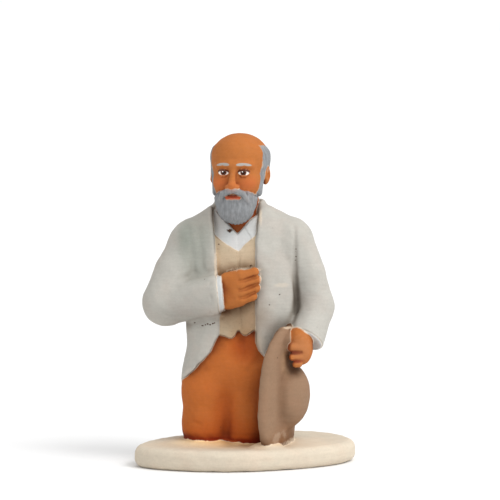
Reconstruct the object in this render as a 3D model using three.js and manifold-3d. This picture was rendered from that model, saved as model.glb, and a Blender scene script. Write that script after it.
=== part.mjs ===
// Kneeling santon figure: an old man on both knees, one fist on the chest, a hat held upright at his side.
// Figure and base are one solid. Millimetres, +Z up, facing -Y, origin under the middle of the base.
import * as THREE from 'three';
import Module from 'manifold-3d';

// main sizes
const FIGURE_HEIGHT = 62.0;
const BASE_THICKNESS = 4.2;
const BASE_LONG = 45.5;
const BASE_SHORT = 29.8;
const BASE_TURN = 20;
const BASE_ROUNDING = 1.6;
const BASE_LEFT_POWER = 1.7;
const BASE_RIGHT_POWER = 2.35;
const BASE_SIDES = 56;
const BASE_EDGE_STEPS = 3;
const MOUND_RISE = 1.0;
const HAT_HEIGHT = 27.4;
const HAT_DEPTH = 19.8;
const HAT_CURL = 2.5;
const BRIM_THICKNESS = 1.75;
// height over the base at which the hand holds the top of the brim
const GRIP_HEIGHT = 23.9;

// facet sizes of the carved forms
const BODY_FACET = 0.92;
const HEAD_FACET = 0.6;
const HAND_FACET = 0.5;
const HAT_FACET = 0.8;
// facets kept over the figure, fewest where it is flattest
const FIGURE_FACETS = 8700;

// one share is a hundredth of the figure's height; all carving below is in shares
const SHARE = FIGURE_HEIGHT / 100;
// where the figure's own axis meets the top of the base
const STAND = [-1.74 * SHARE, -1.13 * SHARE, BASE_THICKNESS];

const rad = THREE.MathUtils.degToRad;
const clamp = THREE.MathUtils.clamp;

// blends between forms
function softMin(a, b, blend) {
  if (blend <= 0) return Math.min(a, b);
  const h = Math.max(blend - Math.abs(a - b), 0) / blend;
  return Math.min(a, b) - h * h * blend * 0.25;
}

function softMax(a, b, blend) {
  return -softMin(-a, -b, blend);
}

// basic forms, each a distance: negative inside, zero on the surface
function ball([cx, cy, cz], [rx, ry, rz]) {
  return (x, y, z) => {
    const u = (x - cx) / rx;
    const v = (y - cy) / ry;
    const w = (z - cz) / rz;
    const k = Math.max(Math.hypot(u, v, w), 1e-3);
    return (k * (k - 1)) / Math.max(Math.hypot(u / rx, v / ry, w / rz), 1e-6);
  };
}

function rod(a, b, ra, rb = ra) {
  const d = [b[0] - a[0], b[1] - a[1], b[2] - a[2]];
  const dd = d[0] * d[0] + d[1] * d[1] + d[2] * d[2];
  return (x, y, z) => {
    const px = x - a[0];
    const py = y - a[1];
    const pz = z - a[2];
    const t = clamp((px * d[0] + py * d[1] + pz * d[2]) / dd, 0, 1);
    return Math.hypot(px - t * d[0], py - t * d[1], pz - t * d[2]) - (ra + (rb - ra) * t);
  };
}

function slab([cx, cy, cz], [hx, hy, hz], rounding) {
  return (x, y, z) => {
    const u = Math.abs(x - cx) - hx + rounding;
    const v = Math.abs(y - cy) - hy + rounding;
    const w = Math.abs(z - cz) - hz + rounding;
    const out = Math.hypot(Math.max(u, 0), Math.max(v, 0), Math.max(w, 0));
    return out + Math.min(Math.max(u, v, w), 0) - rounding;
  };
}

// value that runs smoothly through the rows, by the first entry of each row
function through(rows, at, column) {
  const last = rows.length - 1;
  const t = clamp(at, rows[0][0], rows[last][0]);
  let i = 0;
  while (i < last - 1 && t >= rows[i + 1][0]) i += 1;
  const slope = (k) => {
    const a = Math.max(k - 1, 0);
    const b = Math.min(k + 1, last);
    return (rows[b][column] - rows[a][column]) / (rows[b][0] - rows[a][0]);
  };
  const width = rows[i + 1][0] - rows[i][0];
  const s = (t - rows[i][0]) / width;
  const s2 = s * s;
  const s3 = s2 * s;
  return (2 * s3 - 3 * s2 + 1) * rows[i][column] + (s3 - 2 * s2 + s) * width * slope(i)
    + (3 * s2 - 2 * s3) * rows[i + 1][column] + (s3 - s2) * width * slope(i + 1);
}

// straight runs between the rows
function along(rows, at) {
  const last = rows.length - 1;
  if (at <= rows[0][0]) return rows[0][1];
  for (let i = 0; i < last; i += 1) {
    if (at <= rows[i + 1][0]) {
      const s = (at - rows[i][0]) / (rows[i + 1][0] - rows[i][0]);
      return rows[i][1] + s * (rows[i + 1][1] - rows[i][1]);
    }
  }
  return rows[last][1];
}

// upright form; each row is height, middle depth, half width, half depth
function upright(rows, power, cap) {
  const bottom = rows[0][0];
  const top = rows[rows.length - 1][0];
  return (x, y, z) => {
    const hx = through(rows, z, 2);
    const hy = through(rows, z, 3);
    const u = Math.abs(x) / hx + 1e-6;
    const v = Math.abs(y - through(rows, z, 1)) / hy + 1e-6;
    const q = (u ** power + v ** power) ** (1 / power);
    const steep = q ** (1 - power) * Math.hypot(u ** (power - 1) / hx, v ** (power - 1) / hy);
    const side = (q - 1) / Math.max(steep, 1 / Math.max(hx, hy));
    return softMax(softMax(side, z - top, cap), bottom - z, cap);
  };
}

function placed(form, at, turn) {
  const angles = new THREE.Euler(rad(turn[0]), rad(turn[1]), rad(turn[2]), 'ZYX');
  const m = new THREE.Matrix4().makeRotationFromEuler(angles);
  const e = m.elements;
  return (x, y, z) => {
    const px = x - at[0];
    const py = y - at[1];
    const pz = z - at[2];
    return form(e[0] * px + e[1] * py + e[2] * pz, e[4] * px + e[5] * py + e[6] * pz,
      e[8] * px + e[9] * py + e[10] * pz);
  };
}

function joined(blend, ...forms) {
  return (x, y, z) => forms.reduce((d, form) => softMin(d, form(x, y, z), blend), 1e3);
}

function minus(form, cutter, blend) {
  return (x, y, z) => softMax(form(x, y, z), -cutter(x, y, z), blend);
}

function common(form, bound, blend) {
  return (x, y, z) => softMax(form(x, y, z), bound(x, y, z), blend);
}

// keeps the side of a plane that its normal points away from
function sliced(form, point, normal, blend) {
  const n = new THREE.Vector3(...normal).normalize();
  const plane = (x, y, z) => (x - point[0]) * n.x + (y - point[1]) * n.y + (z - point[2]) * n.z;
  return common(form, plane, blend);
}

function between(a, b, t) {
  return a.map((value, k) => value + (b[k] - value) * t);
}

// distance in the front view to an outline with straight sides, negative inside
function outlineDistance(corners, x, z) {
  let near = 1e6;
  let inside = false;
  corners.forEach(([ax, az], k) => {
    const [bx, bz] = corners[(k + 1) % corners.length];
    const ex = bx - ax;
    const ez = bz - az;
    const t = clamp(((x - ax) * ex + (z - az) * ez) / (ex * ex + ez * ez), 0, 1);
    near = Math.min(near, Math.hypot(x - ax - t * ex, z - az - t * ez));
    if (az > z !== bz > z && x < ax + ((z - az) * ex) / ez) inside = !inside;
  });
  return inside ? -near : near;
}

// soft groove along a line of points, pressed into a form
function grooved(form, points, depth, width) {
  const line = points.slice(1).map((point, k) => rod(points[k], point, 0));
  return (x, y, z) => {
    const away = Math.min(...line.map((part) => part(x, y, z)));
    return form(x, y, z) + depth * Math.exp(-((away / width) ** 2));
  };
}

// front edges of the open coat: height, x
const COAT_EDGE_LEFT = [[17, -22], [19.6, -19.2], [24.6, -14], [30, -9.4], [36, -6.7], [44, -6.8], [60, -7.8],
  [74, -8.8]];
const COAT_EDGE_RIGHT = [[17, 13], [24, 11.5], [30.2, 6.3], [33, 5.2], [60, 5], [70, 5.5], [80, 6.6]];

function coatOpening(x, y, z) {
  return Math.max(along(COAT_EDGE_LEFT, z) - x, x - along(COAT_EDGE_RIGHT, z), y);
}

// hat held upright at the figure's side, crown outwards
const HAT_HALF_HIGH = HAT_HEIGHT / 2 / SHARE;
const HAT_HALF_DEEP = HAT_DEPTH / 2 / SHARE;
const HAT_AT = [15.5, -6.5, GRIP_HEIGHT / SHARE - HAT_HALF_HIGH];
const HAT_TURN = [0, 3.5, -18];
const HAT_OVAL = 2.9;

function hatRim(y, z) {
  const u = Math.abs(y / HAT_HALF_DEEP) + 1e-6;
  const v = Math.abs(z / HAT_HALF_HIGH) + 1e-6;
  const k = (u ** HAT_OVAL + v ** HAT_OVAL) ** (1 / HAT_OVAL);
  return (k * (k - 1)) / Math.hypot(u / HAT_HALF_DEEP, v / HAT_HALF_HIGH);
}

function hatFace(x, y) {
  return x + (HAT_CURL / SHARE) * (y / HAT_HALF_DEEP) ** 2;
}

function hatForm() {
  const half = BRIM_THICKNESS / 2 / SHARE;
  const brim = (x, y, z) => softMax(hatRim(y, z), Math.abs(hatFace(x, y)) - half, half) * 0.9;
  const crown = ball([0, 0, -0.8], [6.9, 8.7, 10.4]);
  const hollowFill = ball([-4.4, 3.2, -3], [5.5, 10.6, 15.5]);
  const hat = placed(joined(1.0, joined(1.8, brim, crown), hollowFill), HAT_AT, HAT_TURN);
  // the brim curls over towards the hand
  return joined(0.8, hat, ball([13.8, -12.2, 33.4], [3.4, 1.9, 4.6]));
}

// corner of the room that the hat takes up, low or high
function hatReach(side) {
  const half = [12 + HAT_CURL / SHARE, HAT_HALF_DEEP + 5, HAT_HALF_HIGH + 4];
  return HAT_AT.map((value, k) => value + side * half[k]);
}

function hatRoom() {
  return placed((x, y, z) => Math.max(hatRim(y, z), -hatFace(x, y) - 0.8), HAT_AT, HAT_TURN);
}

// coat, waistcoat and shirt
const SHIRT_ROWS = [[56, 0.8, 13, 9.4], [60, 1, 13, 9.2], [66, 1.4, 11.4, 8.2], [70, 1.7, 9.8, 7.5],
  [74, 1.9, 8.5, 7.1], [77.5, 2.2, 7.2, 6.7]];
const NECK_EDGE = [[-9, 75.5], [-4.4, 71.2], [-0.8, 67.4], [3, 71.6], [5.8, 73.6], [9, 77]];
const LEFT_WING = [[-9.6, 76.4], [-4.5, 71.2], [-0.9, 67.6], [-0.8, 62.6], [-4.2, 64.4], [-7.6, 66.9],
  [-9.6, 68.6]];
const RIGHT_WING = [[9, 77], [5.8, 73.6], [3, 71.6], [1.7, 69.8], [4, 66], [5.2, 66.9], [9, 69]];
const WING_RISE = 0.3;

function coatForm() {
  const rows = [[8, 3.6, 16, 12.4], [13, 3, 17, 12.8], [20, 2, 19, 12.6], [31, 1, 17.2, 11.6],
    [38, 0.7, 17.4, 11], [52, 0.8, 17.8, 11.2], [60, 1.2, 17.4, 10.8], [66, 1.6, 16, 9.9],
    [71.5, 2, 13, 8.7], [76.5, 2.8, 8.8, 7.4]];
  const hem = (x, y, z) => (19.4 - 0.48 * Math.max(y + 8, 0) - z) * 0.9;
  const sides = common(upright(rows, 2.8, 1.6), hem, 1.0);
  const leftShoulder = rod([-7, 1.8, 69.8], [-14.8, 1, 64], 6.6, 7.6);
  const rightShoulder = rod([8.2, 1.8, 69.6], [15.6, 1, 65], 6.6, 7.5);
  const coat = minus(joined(2.0, sides, leftShoulder, rightShoulder), coatOpening, 1.2);
  const collarRows = [[69, 2.4, 11.8, 9.4], [74, 2.8, 10.0, 8.4], [78.2, 3.4, 7.9, 6.9]];
  const collar = minus(upright(collarRows, 2.2, 0.9), coatOpening, 1.0);
  return joined(1.2, joined(0.5, coat, collar), ball([6.4, 1.8, 74.2], [2.1, 4.8, 3.1]));
}

function vestForm() {
  const rows = [[31, 0.6, 15.2, 10.1], [45, 0.4, 15.2, 10.1], [53, 0.6, 15.6, 10.3], [60, 1, 15.2, 9.6],
    [66, 1.4, 13, 8.55], [74, 1.9, 8, 6.8]];
  const points = [[-12, 33.4], [-6.6, 35.4], [-5, 35.1], [-3.6, 34.5], [-2.6, 34.4], [-1.6, 35.2],
    [-0.9, 36.8], [-0.3, 37], [0.4, 36], [1.3, 35.4], [2.2, 35.4], [3.2, 36], [4.4, 36.9], [8, 37]];
  const neckline = [[-10, 68.6], [-7.6, 66.7], [-4.2, 64.2], [-0.4, 62], [1.8, 64.4], [5, 67], [9, 69.6]];
  const vest = common(upright(rows, 2.5, 0.8), (x, y, z) => along(points, x) - z, 0.6);
  return minus(vest, (x, y, z) => Math.max((along(neckline, x) - z) * 0.78, y), 0.5);
}

function shirtForm() {
  const open = (x, y, z) => Math.max((along(NECK_EDGE, x) - z) * 0.7, y + 1);
  return minus(upright(SHIRT_ROWS, 2.2, 0.8), open, 0.4);
}

function torsoForm() {
  const clothed = joined(1.1, coatForm(), vestForm());
  const neck = rod([0, 1.6, 62], [0, 0.6, 78], 6.4, 6.0);
  return joined(0.7, joined(0.3, clothed, neck), shirtForm());
}

// thighs upright from the knees, shins and shoes lying back on the base
function legsForm() {
  const left = -10.9;
  const right = 3.8;
  const knee = 4.5;
  const thighs = joined(3.0,
    rod([-7.2, 0.6, 33], [-10.5, -0.6, 17], 7.4, 7.7),
    rod([-10.5, -0.6, 17], [left, -1.6, knee], 7.7, 7.6),
    rod([7, 0, 33], [right, -1.6, knee], 8.4, 7.5),
    ball([-0.5, 1, 33], [13.8, 9.6, 9]),
    ball([-1.8, -1.6, 24], [12, 8.4, 11]));
  const ridge = rod([0.2, -2.2, 19], [0.2, -2.6, 3], 6.4);
  const parts = [thighs, ridge, slab([(left + right) / 2, 4.6, 6.6], [8, 11.2, 9], 3)];
  for (const x of [left, right]) parts.push(rod([x, 0, 6.2], [x + 0.8, 11.2, 3.6], 7.2, 4.6));
  const heel = (x) => ball([x + 1, 15.6, 6], [4.6, 3.4, 6.2]);
  const shoe = (x) => joined(1.5, heel(x), ball([x + 1, 16.6, 3], [4.2, 2.9, 3.6]));
  return joined(1.2, joined(2.4, ...parts), shoe(left), shoe(right));
}

// sleeve from elbow to wrist that ends square to the way it faces, with a cuff coming out of it
function sleeve(elbow, wrist, endShare, facing, radii, cuffRadii, cuffOut) {
  const direction = new THREE.Vector3(...wrist).sub(new THREE.Vector3(...elbow)).normalize();
  const end = between(elbow, wrist, endShare);
  const out = direction.multiplyScalar(cuffOut).toArray().map((value, k) => end[k] + value);
  return joined(0.2,
    sliced(rod(elbow, wrist, ...radii), end, facing, 0.5),
    sliced(rod(elbow, wrist, ...cuffRadii), out, facing, 0.4));
}

function armed(body) {
  const upperLeft = joined(0.5,
    rod([-14.8, 1, 63.8], [-19.8, -1, 54.6], 7.6, 7.8), rod([-19.8, -1, 54.6], [-24.1, -3, 45.3], 7.8, 7.2));
  const upperRight = joined(0.5,
    rod([16.3, 1, 65], [20.8, 0, 54], 7.3, 6.8), rod([20.8, 0, 54], [24.1, -1, 44], 6.8, 6.1));
  const foreLeft = sleeve([-23.8, -3.2, 45.1], [-4.5, -11.8, 49.2], 0.865, [1, 0, 0.09], [6.9, 6.2],
    [5.6, 5.7], 1.8);
  const foreRight = sleeve([24.1, -1.2, 43.6], [20.2, -11.6, 30.4], 0.72, [-0.5, -0.6, -0.86], [6, 5.7],
    [5.4, 5.3], 0.5);
  // fullness of the coat beside the right armhole
  const full = joined(2.0, body, ball([15, -3, 46], [3.2, 5, 14]));
  const upper = joined(1.2, joined(2.4, full, upperLeft), upperRight);
  return joined(1.8, upper, foreLeft, foreRight);
}

// deepest folds of the cloth: points, depth, width
const FOLDS = [
  [[[17.5, -4.8, 71], [17.6, -6.3, 62], [17.8, -6.2, 52], [18.1, -6, 46.5], [18.3, -6, 40]], 0.55, 0.75],
  [[[-16.4, -4.4, 70], [-15.4, -7.4, 63], [-14.8, -7.9, 56]], 0.3, 0.9],
  [[[-13.2, -4.6, 71], [-12.6, -7.5, 64], [-12, -8.6, 57]], 0.35, 1.0],
  [[[11, -8.9, 58], [11.4, -9.2, 46], [12.6, -8.6, 35]], 0.2, 1.6],
  [[[-3.4, -10.8, 22], [-3.6, -8.5, 13], [-4.1, -7.7, 5], [-4.3, -7.3, 0]], 0.5, 1.3],
  [[[0, 13.5, 26], [0, 14.6, 20], [0, 16, 12]], 0.7, 0.6],
];

function bodyForm() {
  const clothed = minus(joined(0.6, torsoForm(), legsForm()), hatRoom(), 0.5);
  let figure = armed(clothed);
  for (const [points, depth, width] of FOLDS) figure = grooved(figure, points, depth, width);
  // low mound of clay round the knees, and clay pushed up to the foot of the hat
  const heap = ball([0, 0, 0], [25.5, 15.5, 1.8 + MOUND_RISE / SHARE]);
  const mound = placed(heap, [-5, 1.8, -1.8], [0, 0, BASE_TURN]);
  const hatFoot = ball([8.8, -14.6, -2.2], [7.2, 5.8, 3.9]);
  const all = joined(1.2, joined(1.0, figure, mound), hatFoot);
  // the foot of the figure reaches a little into the base
  return (x, y, z) => Math.max(all(x, y, z), -2.5 - z);
}

// wings of the open shirt collar, raised a little from the shirt
function collarForm() {
  const shirt = upright(SHIRT_ROWS, 2.2, 0.8);
  const rooted = 1.6;
  return (x, y, z) => {
    const side = Math.min(outlineDistance(LEFT_WING, x, z), outlineDistance(RIGHT_WING, x, z));
    const d = shirt(x, y, z);
    return softMax(Math.max(side, y), Math.max(d - WING_RISE, -rooted - d), WING_RISE);
  };
}

// bearded head with a bald crown, side hair and calm, even features
const HEAD_AT = [-0.2, -1.4, 87.5];
const HEAD_TURN = [0, 0, -12];
const HEAD_SIZE = 0.95;

function headForm() {
  const scaled = (list) => list.map((value) => value * HEAD_SIZE);
  const lump = (centre, radii) => ball(scaled(centre), scaled(radii));
  const bar = (a, b, ra, rb = ra) => rod(scaled(a), scaled(b), ra * HEAD_SIZE, rb * HEAD_SIZE);
  const both = (make) => joined(0, make(-1), make(1));
  let head = joined(1.6, lump([0, 1.5, 3.2], [9.4, 10.8, 9.4]), lump([0, 1.2, 5.4], [9.3, 10.2, 6.9]));
  head = joined(2.0, head, lump([0, -2.8, -3.5], [7.8, 6.9, 9.2]));
  head = joined(1.8, head, both((m) => lump([4.3 * m, -5.5, -3.2], [3.2, 3, 3.2])));
  head = joined(1.6, head, both((m) => bar([1.2 * m, -9.1, 2.5], [5.4 * m, -7.2, 2.4], 1.15, 1)));
  head = minus(head, both((m) => lump([3.5 * m, -10.8, 0.1], [2.2, 2.0, 1.35])), 1.3);
  head = joined(0.3, head, both((m) => lump([3.5 * m, -7.9, 0], [2.0, 1.5, 1.3])));
  head = joined(1.2, head, bar([0, -9.3, 1.2], [0, -11.9, -4.2], 0.8, 1.35));
  head = joined(0.6, head, both((m) => lump([1.35 * m, -10.9, -4.7], [1.1, 1.25, 0.95])));
  head = joined(1.4, head, lump([0, -7.2, -7], [4.2, 2.9, 2.6]));
  const beard = joined(2.0, lump([0, -6, -11.6], [6.4, 4.4, 6]), lump([0, -5.2, -8.4], [7.4, 4.4, 4.6]));
  const cheeks = (x, y, z) => (z + 4.4 + 0.75 * Math.max(Math.abs(x) - 2.6, 0)) * 0.8;
  head = joined(0.5, head, common(beard, cheeks, 0.8));
  head = joined(0.7, head, both((m) => bar([7.3 * m, -3.4, -7], [8.5 * m, -1.2, 2], 1.3, 0.9)));
  head = joined(0.4, head, both((m) => bar([0.4 * m, -11.3, -5.7], [3.4 * m, -10.2, -7], 1.15, 1)));
  head = joined(0.4, head, both((m) => bar([3.4 * m, -10.2, -7], [4.6 * m, -8.8, -9.4], 1, 0.9)));
  head = joined(0.3, head, bar([-1.9, -10, -8.3], [1.9, -10, -8.3], 0.75));
  const fringe = (x, y, z) => {
    const top = z - 8.2 + 0.25 * Math.max(y, 0);
    const temple = -(y - 1) + 0.12 * (z - 4) - 3.9 - 0.17 * Math.min(x, 0);
    return Math.max(top, temple, -8.4 - z) * 0.8;
  };
  const shell = joined(1.0, lump([0, 1.9, 2.9], [9.9, 11.3, 9.8]), lump([0, 1.6, 5.4], [9.85, 10.8, 7.3]));
  head = joined(0.6, head, common(shell, fringe, 1.0));
  const outer = (m) => lump([8.9 * m, 0.9, -1], [1.5, 2.5, 3.5]);
  const ear = (m) => minus(outer(m), lump([10.4 * m, 0.2, -0.6], [1.1, 1.4, 2.2]), 0.4);
  head = joined(0.5, head, both(ear));
  return joined(0.4, placed(head, HEAD_AT, HEAD_TURN), rod([0, 0.4, 73], [0, 0, 80], 6.0, 5.8));
}

// fist closed on the chest: four fingers side by side that run on into the back of the hand
function fistForm() {
  const fingers = [[46.1, 47.1, 48.3, 4], [48.1, 49.2, 50.9, 5], [50.9, 52.1, 53.5, 5.3],
    [53.6, 54.9, 56, 4.6]];
  const back = fingers.map(([root, low]) => rod([-4, -12.1, root], [0.2, -13.2, low], 2.3, 2));
  let fist = joined(2.4, ...back, ball([0.6, -11.4, 51], [4.6, 2.6, 4.2]));
  for (const [, low, high, end] of fingers) {
    fist = joined(0.4, fist, rod([0.4, -13.9, low], [end, -13.6, high], 1.5, 1.42));
    fist = joined(0.35, fist, rod([end, -13.6, high], [end + 0.1, -10.6, high], 1.42, 1.3));
  }
  fingers.slice(1).forEach(([, nextLow, nextHigh], k) => {
    const [, low, high, end] = fingers[k];
    const near = (low + nextLow) / 2;
    const far = (high + nextHigh) / 2;
    fist = grooved(fist, [[-0.2, -15.2, near - 0.2], [1.6, -15, near], [end + 0.6, -14.5, far]], 0.5, 0.5);
  });
  return fist;
}

// hand that holds the hat by the top of its brim
function holdingHandForm() {
  const palm = ball([19.5, -11, 31.6], [3.9, 3.9, 5.6]);
  let hand = joined(1.5, palm, ball([18.9, -10.8, 34.8], [4.2, 3.3, 3.4]));
  const fingers = [[32, 19, 16.8, 1.5], [28.9, 19, 16.9, 1.3], [26.6, 18.8, 17.8, 1.1]];
  for (const [z, start, tip, size] of fingers) {
    hand = joined(0.5, hand, rod([start, -13.5, z], [tip, -13.9, z], size + 0.1, size));
  }
  for (const [z, start, tip] of [[30.4, 15.4, 19.4], [27.6, 16.2, 20]]) {
    hand = grooved(hand, [[start, -15, z], [tip, -14.6, z + 0.1]], 0.8, 0.45);
  }
  return hand;
}

// fills corners until the surface passes through every cell as one sheet
function simplify(values, n, index, corner) {
  const oneGroup = (flags, wanted) => {
    const start = flags.indexOf(wanted);
    if (start < 0) return true;
    const reached = [start];
    for (const c of reached) {
      for (const bit of [1, 2, 4]) {
        const next = c ^ bit;
        if (flags[next] === wanted && !reached.includes(next)) reached.push(next);
      }
    }
    return reached.length === flags.filter((flag) => flag === wanted).length;
  };
  const corners = [0, 1, 2, 3, 4, 5, 6, 7].map(corner);
  let changed = true;
  while (changed) {
    changed = false;
    for (let i = 0; i < n[0] - 1; i += 1) {
      for (let j = 0; j < n[1] - 1; j += 1) {
        for (let k = 0; k < n[2] - 1; k += 1) {
          const at = corners.map((c) => index(i + c[0], j + c[1], k + c[2]));
          const flags = at.map((where) => values[where] < 0);
          if (oneGroup(flags, true) && oneGroup(flags, false)) continue;
          const outside = at.filter((where) => values[where] >= 0);
          outside.sort((a, b) => values[a] - values[b]);
          values[outside[0]] = -0.01;
          changed = true;
        }
      }
    }
  }
}

// facets over a form: one point in each cell that the surface passes through, moved onto the surface
function faceted(form, low, high, facet) {
  const cell = facet / SHARE;
  const n = low.map((value, k) => Math.ceil((high[k] - value) / cell) + 1);
  const index = (i, j, k) => (i * n[1] + j) * n[2] + k;
  const corner = (c) => [c & 1, (c >> 1) & 1, (c >> 2) & 1];
  const values = new Float64Array(n[0] * n[1] * n[2]);
  for (let i = 0; i < n[0]; i += 1) {
    for (let j = 0; j < n[1]; j += 1) {
      for (let k = 0; k < n[2]; k += 1) {
        values[index(i, j, k)] = form(low[0] + i * cell, low[1] + j * cell, low[2] + k * cell);
      }
    }
  }
  simplify(values, n, index, corner);
  const edges = [];
  for (let a = 0; a < 8; a += 1) {
    for (const bit of [1, 2, 4]) {
      if (!(a & bit)) edges.push([a, a | bit]);
    }
  }
  const pointOf = new Int32Array(values.length).fill(-1);
  const points = [];
  for (let i = 0; i < n[0] - 1; i += 1) {
    for (let j = 0; j < n[1] - 1; j += 1) {
      for (let k = 0; k < n[2] - 1; k += 1) {
        const sum = [0, 0, 0];
        let hits = 0;
        for (const [p, q] of edges) {
          const a = corner(p);
          const b = corner(q);
          const da = values[index(i + a[0], j + a[1], k + a[2])];
          const db = values[index(i + b[0], j + b[1], k + b[2])];
          if (da < 0 !== db < 0) {
            const t = da / (da - db);
            for (let m = 0; m < 3; m += 1) sum[m] += a[m] + (b[m] - a[m]) * t;
            hits += 1;
          }
        }
        if (hits > 0) {
          pointOf[index(i, j, k)] = points.length;
          points.push([i, j, k].map((value, m) => low[m] + (value + sum[m] / hits) * cell));
        }
      }
    }
  }
  points.forEach((point) => settle(form, point, cell));
  return { points, triangles: netFaces(n, index, values, pointOf, points) };
}

// moves a point onto the surface, never further than part of a cell
function settle(form, point, cell) {
  const step = 0.05;
  const start = [...point];
  for (let turn = 0; turn < 3; turn += 1) {
    const d = form(...point);
    const slope = point.map((value, k) => {
      const a = [...point];
      const b = [...point];
      a[k] = value + step;
      b[k] = value - step;
      return (form(...a) - form(...b)) / (2 * step);
    });
    const steep = Math.max(slope[0] ** 2 + slope[1] ** 2 + slope[2] ** 2, 0.3);
    for (let k = 0; k < 3; k += 1) {
      const moved = point[k] - (d / steep) * slope[k];
      point[k] = clamp(moved, start[k] - 0.4 * cell, start[k] + 0.4 * cell);
    }
  }
}

// two triangles for each grid edge that the surface crosses
function netFaces(n, index, values, pointOf, points) {
  const triangles = [];
  const gap = (a, b) => Math.hypot(...points[a].map((value, k) => value - points[b][k]));
  const ways = [[0, 1, 2], [1, 2, 0], [2, 0, 1]];
  for (const [w, u, v] of ways) {
    const c = [0, 0, 0];
    for (c[u] = 1; c[u] < n[u] - 1; c[u] += 1) {
      for (c[v] = 1; c[v] < n[v] - 1; c[v] += 1) {
        for (c[w] = 0; c[w] < n[w] - 1; c[w] += 1) {
          const e = [...c];
          e[w] += 1;
          const inside = values[index(...c)] < 0;
          if (inside === values[index(...e)] < 0) continue;
          const near = (du, dv) => {
            const g = [...c];
            g[u] -= du;
            g[v] -= dv;
            return pointOf[index(...g)];
          };
          const ring = [near(1, 1), near(0, 1), near(0, 0), near(1, 0)];
          if (!inside) ring.reverse();
          const [p, q, r, s] = ring;
          if (gap(p, r) < gap(q, s)) triangles.push(p, q, r, p, r, s);
          else triangles.push(q, r, s, q, s, p);
        }
      }
    }
  }
  return triangles;
}

// how far a point is from the planes gathered in a sum
function planeCost(q, x, y, z) {
  return q[0] * x * x + 2 * q[1] * x * y + 2 * q[2] * x * z + 2 * q[3] * x + q[4] * y * y
    + 2 * q[5] * y * z + 2 * q[6] * y + q[7] * z * z + 2 * q[8] * z + q[9];
}

// place nearest to all the planes of a sum, or nothing where they don't fix one
function planeMeeting(q) {
  const m = new THREE.Matrix3().set(q[0], q[1], q[2], q[1], q[4], q[5], q[2], q[5], q[7]);
  const size = q[0] + q[4] + q[7];
  if (Math.abs(m.determinant()) < 1e-4 * size ** 3) return null;
  return new THREE.Vector3(-q[3], -q[6], -q[8]).applyMatrix3(m.invert());
}

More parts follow.
